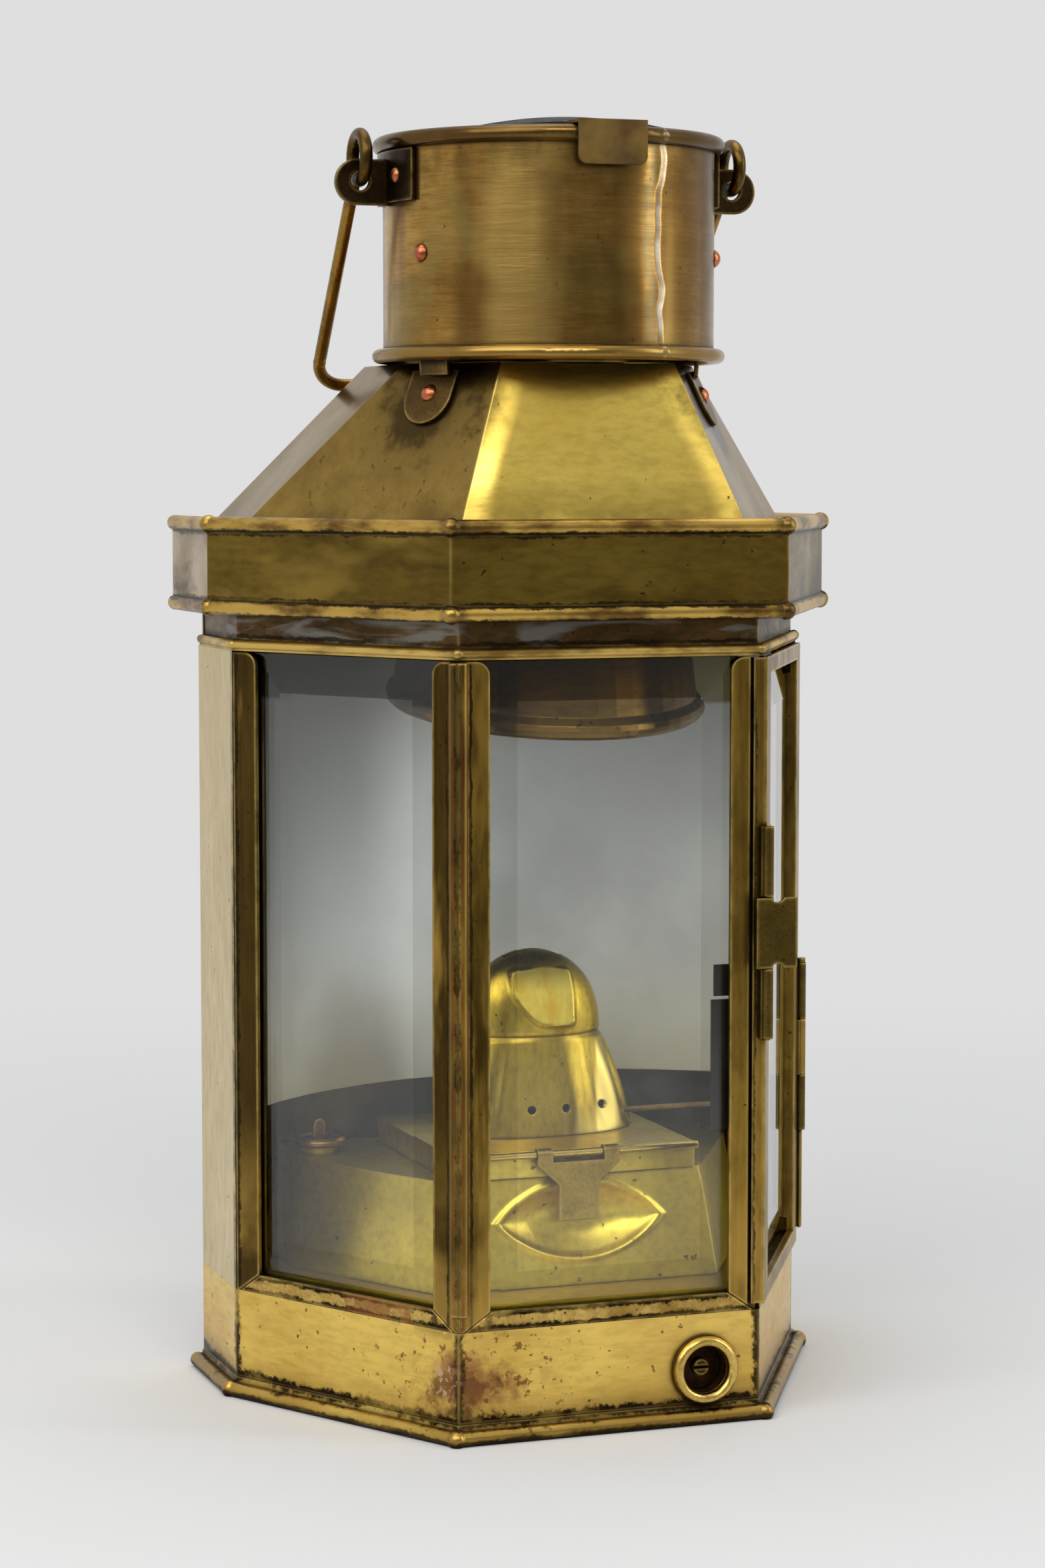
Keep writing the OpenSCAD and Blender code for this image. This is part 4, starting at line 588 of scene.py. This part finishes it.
def dome_marks(g, color):
    """Painted shaded and lit folds down the skirt, a brushed pad painted bright as a painted
    highlight, the back and crown darker, painted shade in the crease.
    """
    low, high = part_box("dome")
    x, y, z = g.xyz()
    pad = g.times(g.facing(PAD_WAY, 0.972, 0.99), g.within(x, -9.4 * MM, 9.2 * MM, 0.3 * MM),
                  g.within(z, low.z + 32.2 * MM, low.z + 49 * MM, 0.4 * MM))
    skirt = g.ramp(z, DOME_CREASE, DOME_CREASE - 2 * MM)
    # The folds are painted dark and lit, as painted shade and painted highlight.
    fold = g.cloud(110, 2.0, 0.5, 0.52, 0.64, 0.0, 0.6, (1, 1, 0.06))
    color = g.tint(color, (112, 90, 34), fold, skirt)
    lit = g.cloud(90, 2.0, 0.5, 0.54, 0.66, 0.0, 0.6, (1, 1, 0.06))
    color = g.tint(color, (252, 228, 130), lit, skirt)
    # The pad is painted bright as a painted highlight, with brushed streaks.
    brushed_highlight = g.mix(g.cloud(260, 4.0, 0.6, 0.35, 0.65, stretch=(1, 1, 0.3)),
                    srgb(255, 232, 112), srgb(246, 204, 76))
    color = g.mix(g.times(pad, 0.92), color, brushed_highlight)
    rear = g.ramp(y, (low.y + high.y) / 2 - 4 * MM, high.y)
    color = g.tint(color, (86, 70, 36), rear, 0.7)
    crown = g.ramp(z, high.z - 12 * MM, high.z - 3 * MM)
    color = g.tint(color, (84, 72, 40), crown, 0.75)
    # The groove under the crease is painted darker as painted shade.
    ledge = g.within(z, DOME_CREASE - 1.6 * MM, DOME_CREASE + 0.2 * MM, 0.5 * MM)
    return g.tint(color, (96, 76, 34), ledge, 0.5)


def font_marks(g, color):
    """Clouded patches, and a duller top."""
    color = g.tint(color, (134, 118, 68), g.cloud(20, 3.0, 0.5, 0.5, 0.68, 0.0, 0.4))
    return g.tint(color, (112, 98, 58), g.facing((0, 0, 1), 0.8, 0.95), 0.55)


# Materials -------------------------------------------------------------------
EVEN = (1, 1, 1)                   # how the brushing is drawn out
UPRIGHT = (1, 1, 0.12)
ROUND = (0.25, 0.25, 3)
CASE = brass("case_brass", (160, 130, 70), (112, 88, 44))
CHIMNEY = brass("chimney_brass", (192, 150, 78), (128, 94, 44), 0.5, (0.20, 0.32), ROUND, 15,
                waves=1.0, pits=0.05, streaks=0.35, extra=chimney_marks, relief=chimney_dents)
FASCIA = brass("fascia_brass", (146, 120, 50), (98, 76, 30), 0.5, (0.26, 0.40), ALONG, 12,
               reach=4, pits=-0.1, extra=brim_marks)
ROOF = brass("roof_brass", (236, 206, 100), (206, 174, 78), 0.42, (0.22, 0.32), (0.4, 1, 1), 11,
             pits=-0.4, waves=0.8, streaks=0.2, extra=roof_marks, relief=roof_pillow)
FRIEZE = brass("frieze_brass", (112, 86, 50), (62, 46, 28), 0.5, (0.3, 0.5), ALONG, 16,
               extra=frieze_marks)
BASE = brass("base_brass", (244, 208, 108), (220, 180, 88), 0.38, (0.24, 0.36), ALONG, 12,
             seam=1.0, pits=0.25, streaks=0.25, extra=base_marks)
POST = brass("post_brass", (108, 86, 36), (70, 52, 18), 0.5, (0.24, 0.40), UPRIGHT, 16,
             rub=0.85, extra=post_marks)
TRIM = brass("trim_brass", (220, 186, 104), (158, 124, 58), 0.42, (0.16, 0.30), EVEN, 20,
             seam=1.0, extra=rail_marks)
RING = brass("ring_brass", (236, 204, 116), (178, 144, 68), 0.34, (0.12, 0.26), EVEN, 20, seam=1.0)
ROD = brass("rod_brass", (250, 222, 116), (196, 162, 70), 0.4, (0.12, 0.28), (0.3, 1, 1), 24,
            reach=3)
BRIGHT = brass("burner_brass", (222, 190, 70), (168, 138, 44), 0.42, (0.26, 0.38), (1, 1, 0.4), 16,
               seam=0.8, waves=1.0, pits=0.1, rub=0.3, reach=3, extra=dome_marks)
TANK = brass("font_brass", (246, 218, 88), (212, 182, 66), 0.42, (0.30, 0.42), EVEN, 10,
             seam=0.8, pits=0.1, rub=0.8, extra=font_marks)
TONGUE = brass("tongue_brass", (186, 158, 72), (134, 110, 44), 0.45, (0.26, 0.4), EVEN, 30,
               reach=3)
COPPER = brass("copper", (214, 122, 86), (140, 72, 48), 0.42, (0.2, 0.36), EVEN, 60, reach=2.5)
PLUG = brass("plug_copper", (48, 32, 24), (26, 18, 14), 0.5, (0.3, 0.5), EVEN, 60, reach=3)
# The straight sides are painted pale, as painted reflection of the pale room.
SIDE = brass("side_brass", (224, 204, 156), (210, 188, 140), 0.42, (0.28, 0.40), (1, 1, 0.25), 12,
             pits=0.1, extra=side_marks)
BACK = brass("back_brass", (182, 150, 84), (142, 114, 60), 0.5, (0.24, 0.36), (1, 1, 0.5), 11,
             pits=0.1, extra=back_marks)
DARK = brass("ear_brass", (84, 62, 34), (40, 30, 16), 0.55, (0.24, 0.42), EVEN, 30, rub=0.5)
BAIL = brass("bail_brass", (164, 128, 60), (98, 74, 34), 0.5, (0.2, 0.36), EVEN, 40, reach=3,
             extra=bail_marks)
STRAP = brass("strap_brass", (132, 104, 54), (82, 62, 32), 0.5, (0.26, 0.42), EVEN, 20,
              extra=strap_marks)
FLUE = brass("flue_brass", (128, 100, 46), (78, 58, 28), 0.5, (0.30, 0.44), ALONG, 14, seam=0.5,
             reach=3)
SPINDLE = brass("spindle_brass", (150, 124, 70), (96, 76, 40), 0.5, (0.24, 0.4), EVEN, 40, reach=2)
DOOR = brass("door_brass", (168, 136, 60), (104, 80, 32), 0.5, (0.24, 0.40), UPRIGHT, 16,
             rub=0.9, extra=post_marks)
LATCH = brass("latch_brass", (112, 92, 42), (72, 58, 26), 0.5, (0.24, 0.4), EVEN, 26, reach=3)
CAP = brass("cap_brass", (158, 112, 72), (98, 66, 38), 0.5, (0.26, 0.42), EVEN, 30, reach=3)
SOOT = plain("soot_black", (14, 14, 14), (46, 44, 42), (0.45, 0.7), 0.6, 80, 0.2)
COVER = plain("cover_black", (10, 10, 11), (34, 32, 30), (0.5, 0.7), 0.7, 60, 0.2,
              extra=cover_marks)
TIN = plain("old_tin", (214, 215, 214), (232, 233, 232), (0.5, 0.58), 0.9, 18, 0.04, 0.5,
            extra=tin_marks)
COTTON = plain("cotton", (150, 138, 110), (206, 196, 168), (0.9, 1.0), 0.0, 900, 0.6)
GLASS = glass("pane_glass")

LOOK = {
    "base_pan": BASE, "base_panels": BASE, "inner_floor": TANK, "sill_rails": TRIM,
    "sill_ledge": CASE, "ferrule": RING, "ferrule_plug": PLUG, "back_sheet": BACK,
    "wall_socket": CASE, "socket_rivets": COPPER, "side_sheet_left": SIDE,
    "side_sheet_right": SIDE, "corner_post": POST, "left_post": POST, "door_post": DOOR,
    "hinge_post": POST, "glass_left": GLASS, "glass_front": GLASS, "glass_clips": SOOT,
    "frieze": FRIEZE, "brim": FASCIA, "roof": ROOF, "roof_straps": STRAP,
    "strap_rivets": COPPER, "chimney": CHIMNEY, "flue_collar": FRIEZE, "flue": FLUE,
    "ear_left": DARK, "ear_right": DARK, "ear_rivets": COPPER, "bail": BAIL,
    "chimney_cover": COVER, "cover_hinge": DARK, "reflector": TIN, "reflector_channels": CASE,
    "font": TANK, "font_hinge": ROD, "filler_cap": CAP, "burner_lid": TANK, "lid_rod": ROD,
    "dome": BRIGHT, "wick_tube": CASE, "wick": COTTON, "wick_spindle": SPINDLE,
    "hasp_tongue": TONGUE, "door_frame": DOOR, "door_glass": GLASS, "door_hinge_leaf": LATCH,
    "door_hinge_pin": POST, "latch_barrel": LATCH, "latch_pin": ROD, "latch_thumb": LATCH,
}
for name, obj in nodes.items():
    obj.data.materials.clear()
    obj.data.materials.append(LOOK[name])


# Pieces: helpers, all in millimetres -----------------------------------------
def mesh_piece(name, verts, faces, material, body):
    """A mesh from millimetres, riding on a body (none for a cutter)."""
    mesh = bpy.data.meshes.new(name)
    mesh.from_pydata([tuple(c * MM for c in v) for v in verts], [], faces)
    if material:
        mesh.materials.append(material)
    obj = bpy.data.objects.new(name, mesh)
    bpy.context.scene.collection.objects.link(obj)
    if body:
        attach(obj, body)
    return obj


def circle(middle, radius, half_count):
    """Points (x, y) of a circle with twice half_count sides."""
    angles = [k * math.pi / half_count for k in range(2 * half_count)]
    return [(middle[0] + radius * math.cos(a), middle[1] + radius * math.sin(a)) for a in angles]


def rectangle(x0, y0, x1, y1):
    return [(x0, y0), (x1, y0), (x1, y1), (x0, y1)]


def prism(outline, low, high):
    """Closed prism over an outline of (x, y) points, from low to high along z."""
    n = len(outline)
    verts = [(x, y, low) for x, y in outline] + [(x, y, high) for x, y in outline]
    faces = [(i, (i + 1) % n, n + (i + 1) % n, n + i) for i in range(n)]
    return verts, faces + [tuple(reversed(range(n))), tuple(range(n, 2 * n))]


def carve(obj, verts, faces):
    """Cuts a closed shape out of a piece, at once."""
    cutter = mesh_piece("cutter", verts, faces, None, None)
    modifier = obj.modifiers.new("cut", "BOOLEAN")
    modifier.operation = "DIFFERENCE"
    modifier.solver = "EXACT"
    modifier.object = cutter
    graph = bpy.context.evaluated_depsgraph_get()
    done = bpy.data.meshes.new_from_object(obj.evaluated_get(graph))
    obj.modifiers.clear()
    obj.data = done
    mesh = cutter.data
    bpy.data.objects.remove(cutter)
    bpy.data.meshes.remove(mesh)


def soften(obj, angle):
    """Smooth shading, sharp again where faces meet at more than an angle."""
    for polygon in obj.data.polygons:
        polygon.use_smooth = True
    obj.data.set_sharp_from_angle(angle=math.radians(angle))


def smooth_step(t):
    t = min(1.0, max(0.0, t))
    return t * t * (3 - 2 * t)


def soft_most(values, sharpness):
    """The largest value, rounded over where two are nearly as large."""
    return math.log(sum(math.exp(sharpness * v) for v in values)) / sharpness


# The beaten dome of the burner -----------------------------------------------
DOME_Y = (DOME_LOW.y + DOME_HIGH.y) / 2 / MM
DOME_FOOT = DOME_LOW.z / MM
DOME_SIZE = (31.0, 16.0, 54.0)     # half width and half depth at the foot, height
CREASE = 0.545                     # share of the height under the crease
SKIRT_TAPER, SKIRT_END = 0.35, 0.58
CROWN_WIDE, CROWN_DEEP = 0.668, 0.692
DEPTH_KEPT = 0.4                   # share of the depth that doesn't taper
LEDGE_DEPTH, LEDGE_BELOW, LEDGE_WIDE = 0.035, 0.008, 0.011    # the groove of the crease
FLUTE = 0.050                      # depth of the flutes as a share of the radius
SHELL = 1.0                        # thickness of the sheet
PAD_MIDDLE = Vector((0.0, -11.2, 41.0))
PAD_SIDES = ((1, 0, 9.3), (-1, 0, 9.6), (0, 1, 8.6), (0, -1, 9.2), (-0.767, -0.643, 8.1))
AIR_HOLES, AIR_HOLE_R, AIR_HOLE_Z = (-148, -110, -70, -32), 1.3, 8
SHAFT_HALF = 1.4                   # half the width of the slot for the spindle
WICK_SLOT = (9, 2)                 # half width and half depth of the slot in the crown

spindle_low, spindle_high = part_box("wick_spindle")
SPINDLE_Y = (spindle_low.y + spindle_high.y) / 2 / MM
SPINDLE_Z = (spindle_low.z + spindle_high.z) / 2 / MM


def dome_point(u, a, inset, pad_way, pad_up):
    """Point of the dome at share u of its height and angle a, inset from its outside."""
    wide, deep, height = DOME_SIZE
    if u < CREASE:
        share = 1 - SKIRT_TAPER * u / SKIRT_END
        flute = FLUTE * math.sin(math.pi * min(1, u / CREASE)) ** 0.7
        share *= 1 + flute * math.sin(9 * a + 0.9) + 0.55 * flute * math.sin(19 * a + 2.1)
        depth = DEPTH_KEPT + (1 - DEPTH_KEPT) * (1 - SKIRT_TAPER * u / SKIRT_END)
    else:
        v = (u - CREASE) / (1 - CREASE)
        share = CROWN_WIDE * max(0.0, 1 - v ** 2.3) ** 0.5
        depth = DEPTH_KEPT + (1 - DEPTH_KEPT) * CROWN_DEEP
        depth *= max(0.0, 1 - v ** 2.6) ** 0.5
    ledge = 1 - LEDGE_DEPTH * math.exp(-((u - CREASE + LEDGE_BELOW) / LEDGE_WIDE) ** 2)
    x = max(0.0, wide * share * ledge - inset) * math.cos(a)
    y = max(0.0, deep * depth * ledge - inset) * math.sin(a)
    p = Vector((x, y, (height - inset) * u))
    if p.y < -2:
        off = p - PAD_MIDDLE
        along, up = off.x, off.dot(pad_up)
        edge = soft_most([i * along + j * up - k for i, j, k in PAD_SIDES], 1.1)
        p -= pad_way * (off.dot(pad_way) + inset) * smooth_step(0.5 - edge)
    return (p.x, p.y + DOME_Y, p.z + DOME_FOOT)


def dome_piece():
    """The beaten dome: fluted skirt, crease, round crown with a flat pad."""
    sides, steps = 200, 96
    pad_way = Vector(PAD_WAY).normalized()
    pad_up = pad_way.cross(Vector((1, 0, 0))).normalized()
    pad_up *= math.copysign(1, pad_up.z)
    levels = [1 - (1 - k / steps) ** 1.35 for k in range(steps + 1)]
    verts = []
    for inset, order in ((0.0, levels), (SHELL, levels[::-1])):
        for u in order:
            verts += [dome_point(min(u, 0.9995), 2 * math.pi * i / sides, inset, pad_way, pad_up)
                      for i in range(sides)]
    rings = len(verts) // sides
    faces = []
    for r in range(rings):
        if r == steps:
            continue               # outer and inner crown are closed each by itself
        q = (r + 1) % rings
        faces += [(r * sides + i, r * sides + (i + 1) % sides, q * sides + (i + 1) % sides,
                   q * sides + i) for i in range(sides)]
    faces.append(tuple(steps * sides + i for i in range(sides)))
    faces.append(tuple((steps + 1) * sides + i for i in reversed(range(sides))))
    piece = mesh_piece("beaten_dome", verts, faces, BRIGHT, "burner")
    level = Matrix.Rotation(math.radians(90), 3, "Y")
    for angle in AIR_HOLES:
        way = Matrix.Rotation(math.radians(angle), 3, "Z") @ level
        tube, walls = prism(circle((0, 0), AIR_HOLE_R, 12), 4, 40)
        middle = Vector((0, DOME_Y, DOME_FOOT + AIR_HOLE_Z))
        carve(piece, [tuple(way @ Vector(v) + middle) for v in tube], walls)
    shaft = rectangle(6.0, SPINDLE_Y - SHAFT_HALF, 40.0, SPINDLE_Y + SHAFT_HALF)
    carve(piece, *prism(shaft, DOME_FOOT - 1, SPINDLE_Z + SHAFT_HALF))
    x, y = WICK_SLOT
    slot = rectangle(-x, DOME_Y - y, x, DOME_Y + y)
    carve(piece, *prism(slot, DOME_FOOT + 49.5, DOME_FOOT + 60))
    soften(piece, 40)
    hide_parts("dome")


# The oil font ----------------------------------------------------------------
FONT_FOOT = FONT_LOW.z / MM
FONT_DECK = (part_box("burner_lid")[0].z - 0.05 * MM) / MM
FONT_TOP_Y = FRONT_Y / MM + 31     # front of the font at its deck
FONT_TAPER = 6.0                   # how much further out its foot stands
FONT_SIDE, FONT_HALF = 21, 65.5    # setback behind the slanted panes, half its width
RECESS_HALF, RECESS_TOP = 11.2, 1.6    # half height of the finger recess, gap above it
ARC_R, ARC_OFF = 33.5, 22.3        # the recess lies where two circles overlap
RECESS_DEPTH, RECESS_SLOPE = 4.0, 9.6
LIP_HEIGHT, LIP_WIDTH = 0.75, 1.05
BURNER_PIT = (15, 13)              # half width and half depth of the pit under the burner
FONT_FLOOR = 1.2                   # thickness of the sheet under the pit


def font_plan(out):
    """Outline of the font, moved out on its slanted sides and front."""
    tan, sin = math.sqrt(3), math.sqrt(3) / 2
    half, front = FRONT_HALF / MM, FRONT_Y / MM
    side, y0 = FONT_SIDE - out, FONT_TOP_Y - out
    cx = half + (y0 - front) / tan - side / sin
    sx = FONT_HALF + out
    sy = front + (sx - half + side / sin) * tan
    back = FONT_HIGH.y / MM
    return [(-cx, y0), (cx, y0), (sx, sy), (sx, back), (-sx, back), (-sx, sy)]


def font_piece():
    """The oil font, its finger recess pressed into the slanted front with a rounded lip."""
    low, deck = FONT_FOOT, FONT_DECK
    bottom, top = font_plan(FONT_TAPER), font_plan(0)
    columns, rows = 220, 92
    corner = [Vector((*bottom[0], low)), Vector((*bottom[1], low)),
              Vector((*top[1], deck)), Vector((*top[0], deck))]
    across = (corner[1] - corner[0]).normalized()
    normal = across.cross(corner[3] - corner[0]).normalized()
    up = normal.cross(across)
    rise = (deck - low) - RECESS_HALF - RECESS_TOP
    middle = Vector((1.0, FONT_TOP_Y - FONT_TAPER * (1 - rise / (deck - low)), low + rise))

    def front(s, t):
        p = corner[0].lerp(corner[1], s).lerp(corner[3].lerp(corner[2], s), t)
        off = p - middle
        x, y = off.dot(across), off.dot(up)
        arcs = [ARC_R - math.hypot(x, y - ARC_OFF), ARC_R - math.hypot(x, y + ARC_OFF)]
        inside = -soft_most([-max(v, -60) for v in arcs], 0.5)
        depth = RECESS_DEPTH * smooth_step((inside + 0.6) / RECESS_SLOPE) ** 0.7
        lip = LIP_HEIGHT * math.exp(-(min(arcs) / LIP_WIDTH) ** 2)
        return p + normal * (lip - depth)

    verts = [tuple(front(i / columns, j / rows)) for j in range(rows + 1)
             for i in range(columns + 1)]
    wide = columns + 1
    faces = [(j * wide + i, j * wide + i + 1, (j + 1) * wide + i + 1, (j + 1) * wide + i)
             for j in range(rows) for i in range(columns)]
    rest = len(verts)
    verts += [(*p, low) for p in bottom[2:]] + [(*p, deck) for p in top[2:]]
    foot = [rest + k for k in range(4)]
    head = [rest + 4 + k for k in range(4)]
    left = [j * wide for j in range(rows + 1)]
    right = [j * wide + columns for j in range(rows + 1)]
    faces.append(tuple(right[::-1] + [foot[0], head[0]]))
    faces += [(foot[k], foot[k + 1], head[k + 1], head[k]) for k in range(3)]
    faces.append(tuple(left + [head[3], foot[3]]))
    faces.append(tuple(list(range(columns, -1, -1)) + foot[::-1]))
    faces.append(tuple([rows * wide + i for i in range(columns + 1)] + head))
    piece = mesh_piece("oil_font", verts, faces, TANK, "lamp_case")
    x, y = BURNER_PIT
    carve(piece, *prism(rectangle(-x, DOME_Y - y, x, DOME_Y + y), low + FONT_FLOOR, deck + 5))
    cap_low, cap_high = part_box("filler_cap")
    middle = ((cap_low.x + cap_high.x) / 2 / MM, (cap_low.y + cap_high.y) / 2 / MM)
    radius = (cap_high.x - cap_low.x) / 2 / MM - 2.6
    neck, walls = prism(circle(middle, radius, 24), deck - 0.5, cap_low.z / MM - 0.05)
    collar = mesh_piece("filler_neck", neck, walls, TANK, "lamp_case")
    for obj in (piece, collar):
        soften(obj, 30)
        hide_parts("font")


dome_piece()
font_piece()


# Stage -----------------------------------------------------------------------
PALE = (0.735, 0.735, 0.735)
SHADE = (0.26, 0.26, 0.26)         # what the brass mirrors on the photographer's side
SEEN = ("Camera", "Glossy", "Transmission")


def make_stage():
    """Pale floor that keeps the shadow near the lamp and fades into a pale backdrop."""
    g = new_graph("pale_sweep")
    lit = g.fill(g.add("ShaderNodeBsdfDiffuse"), Color=(0.715, 0.713, 0.71))
    near_side = g.ramp(g.xyz()[1], -0.35, -0.92)
    glow = g.fill(g.add("ShaderNodeEmission"),
                  Color=g.mix(g.times(near_side, g.rays("Glossy")), PALE, SHADE))
    far = g.ramp(g.vector("LENGTH", g.coords()), 0.30, 0.85)
    g.blend(g.times(far, g.rays(*SEEN)), lit, glow)
    half, front, back, bend, top = 6.0, -0.95, 2.2, 1.2, 6.0
    profile = [(front, 0.0), (back - bend, 0.0)]
    profile += [(back - bend + bend * math.sin(a), bend - bend * math.cos(a))
                for a in [math.radians(9 * k) for k in range(1, 11)]]
    profile += [(back, top)]
    verts = [(x, y, z) for y, z in profile for x in (-half, half)]
    faces = [(2 * k, 2 * k + 1, 2 * k + 3, 2 * k + 2) for k in range(len(profile) - 1)]
    mesh = bpy.data.meshes.new("sweep")
    mesh.from_pydata(verts, [], faces)
    mesh.materials.append(g.owner)
    for p in mesh.polygons:
        p.use_smooth = True
    sweep = bpy.data.objects.new("sweep", mesh)
    bpy.context.scene.collection.objects.link(sweep)


def area_light(name, place, target, size, power, tint=(1, 1, 1)):
    data = bpy.data.lights.new(name, "AREA")
    data.shape = "RECTANGLE"
    data.size, data.size_y = size
    data.energy = power
    data.color = tint
    lamp = bpy.data.objects.new(name, data)
    lamp.location = place
    lamp.rotation_euler = (Vector(target) - Vector(place)).to_track_quat("-Z", "Y").to_euler()
    bpy.context.scene.collection.objects.link(lamp)


def make_world():
    """Plain light, and a pale room that mirrors darker on the photographer's side."""
    world = bpy.data.worlds.new("room")
    bpy.context.scene.world = world
    g = Graph(world, "ShaderNodeOutputWorld")
    light = g.fill(g.add("ShaderNodeBackground"), Color=(0.95, 0.98, 1.0), Strength=0.45)
    way = g.add("ShaderNodeTexCoord").outputs["Generated"]
    front = g.ramp(g.vector("DOT_PRODUCT", way, (-0.18, -0.98, 0.0)), 0.5, 0.9)
    tone = g.mix(g.times(front, g.rays("Glossy")), PALE, SHADE)
    seen = g.fill(g.add("ShaderNodeBackground"), Color=tone, Strength=1.0)
    g.blend(g.rays(*SEEN), light, seen)


def make_camera():
    """The photograph's camera, solved from the lamp's straight edges."""
    data = bpy.data.cameras.new("camera")
    data.sensor_fit = "VERTICAL"
    data.sensor_height = 36.0
    data.lens = 84.02
    data.clip_start = 0.05
    data.clip_end = 50.0
    camera = bpy.data.objects.new("camera", data)
    camera.location = (-366.2 * MM, FRONT_Y - 949.6 * MM, 271.9 * MM)
    camera.rotation_euler = (math.radians(90 - 4.94), 0.0, math.radians(-19.68))
    bpy.context.scene.collection.objects.link(camera)
    bpy.context.scene.camera = camera


make_stage()
make_world()
make_camera()
aim = (0.0, 0.0, 0.18)
area_light("key", (-1.3, -1.0, 1.5), aim, (1.7, 1.6), 21, (1.0, 0.99, 0.97))
area_light("front", (-0.15, -1.6, 1.45), aim, (0.7, 0.6), 8)
area_light("strip", (1.7, -1.05, 0.9), aim, (0.35, 1.5), 9, (0.97, 0.98, 1.0))
area_light("top", (0.0, 0.2, 2.0), aim, (1.6, 1.2), 12)

bpy.context.scene.view_settings.view_transform = "Standard"
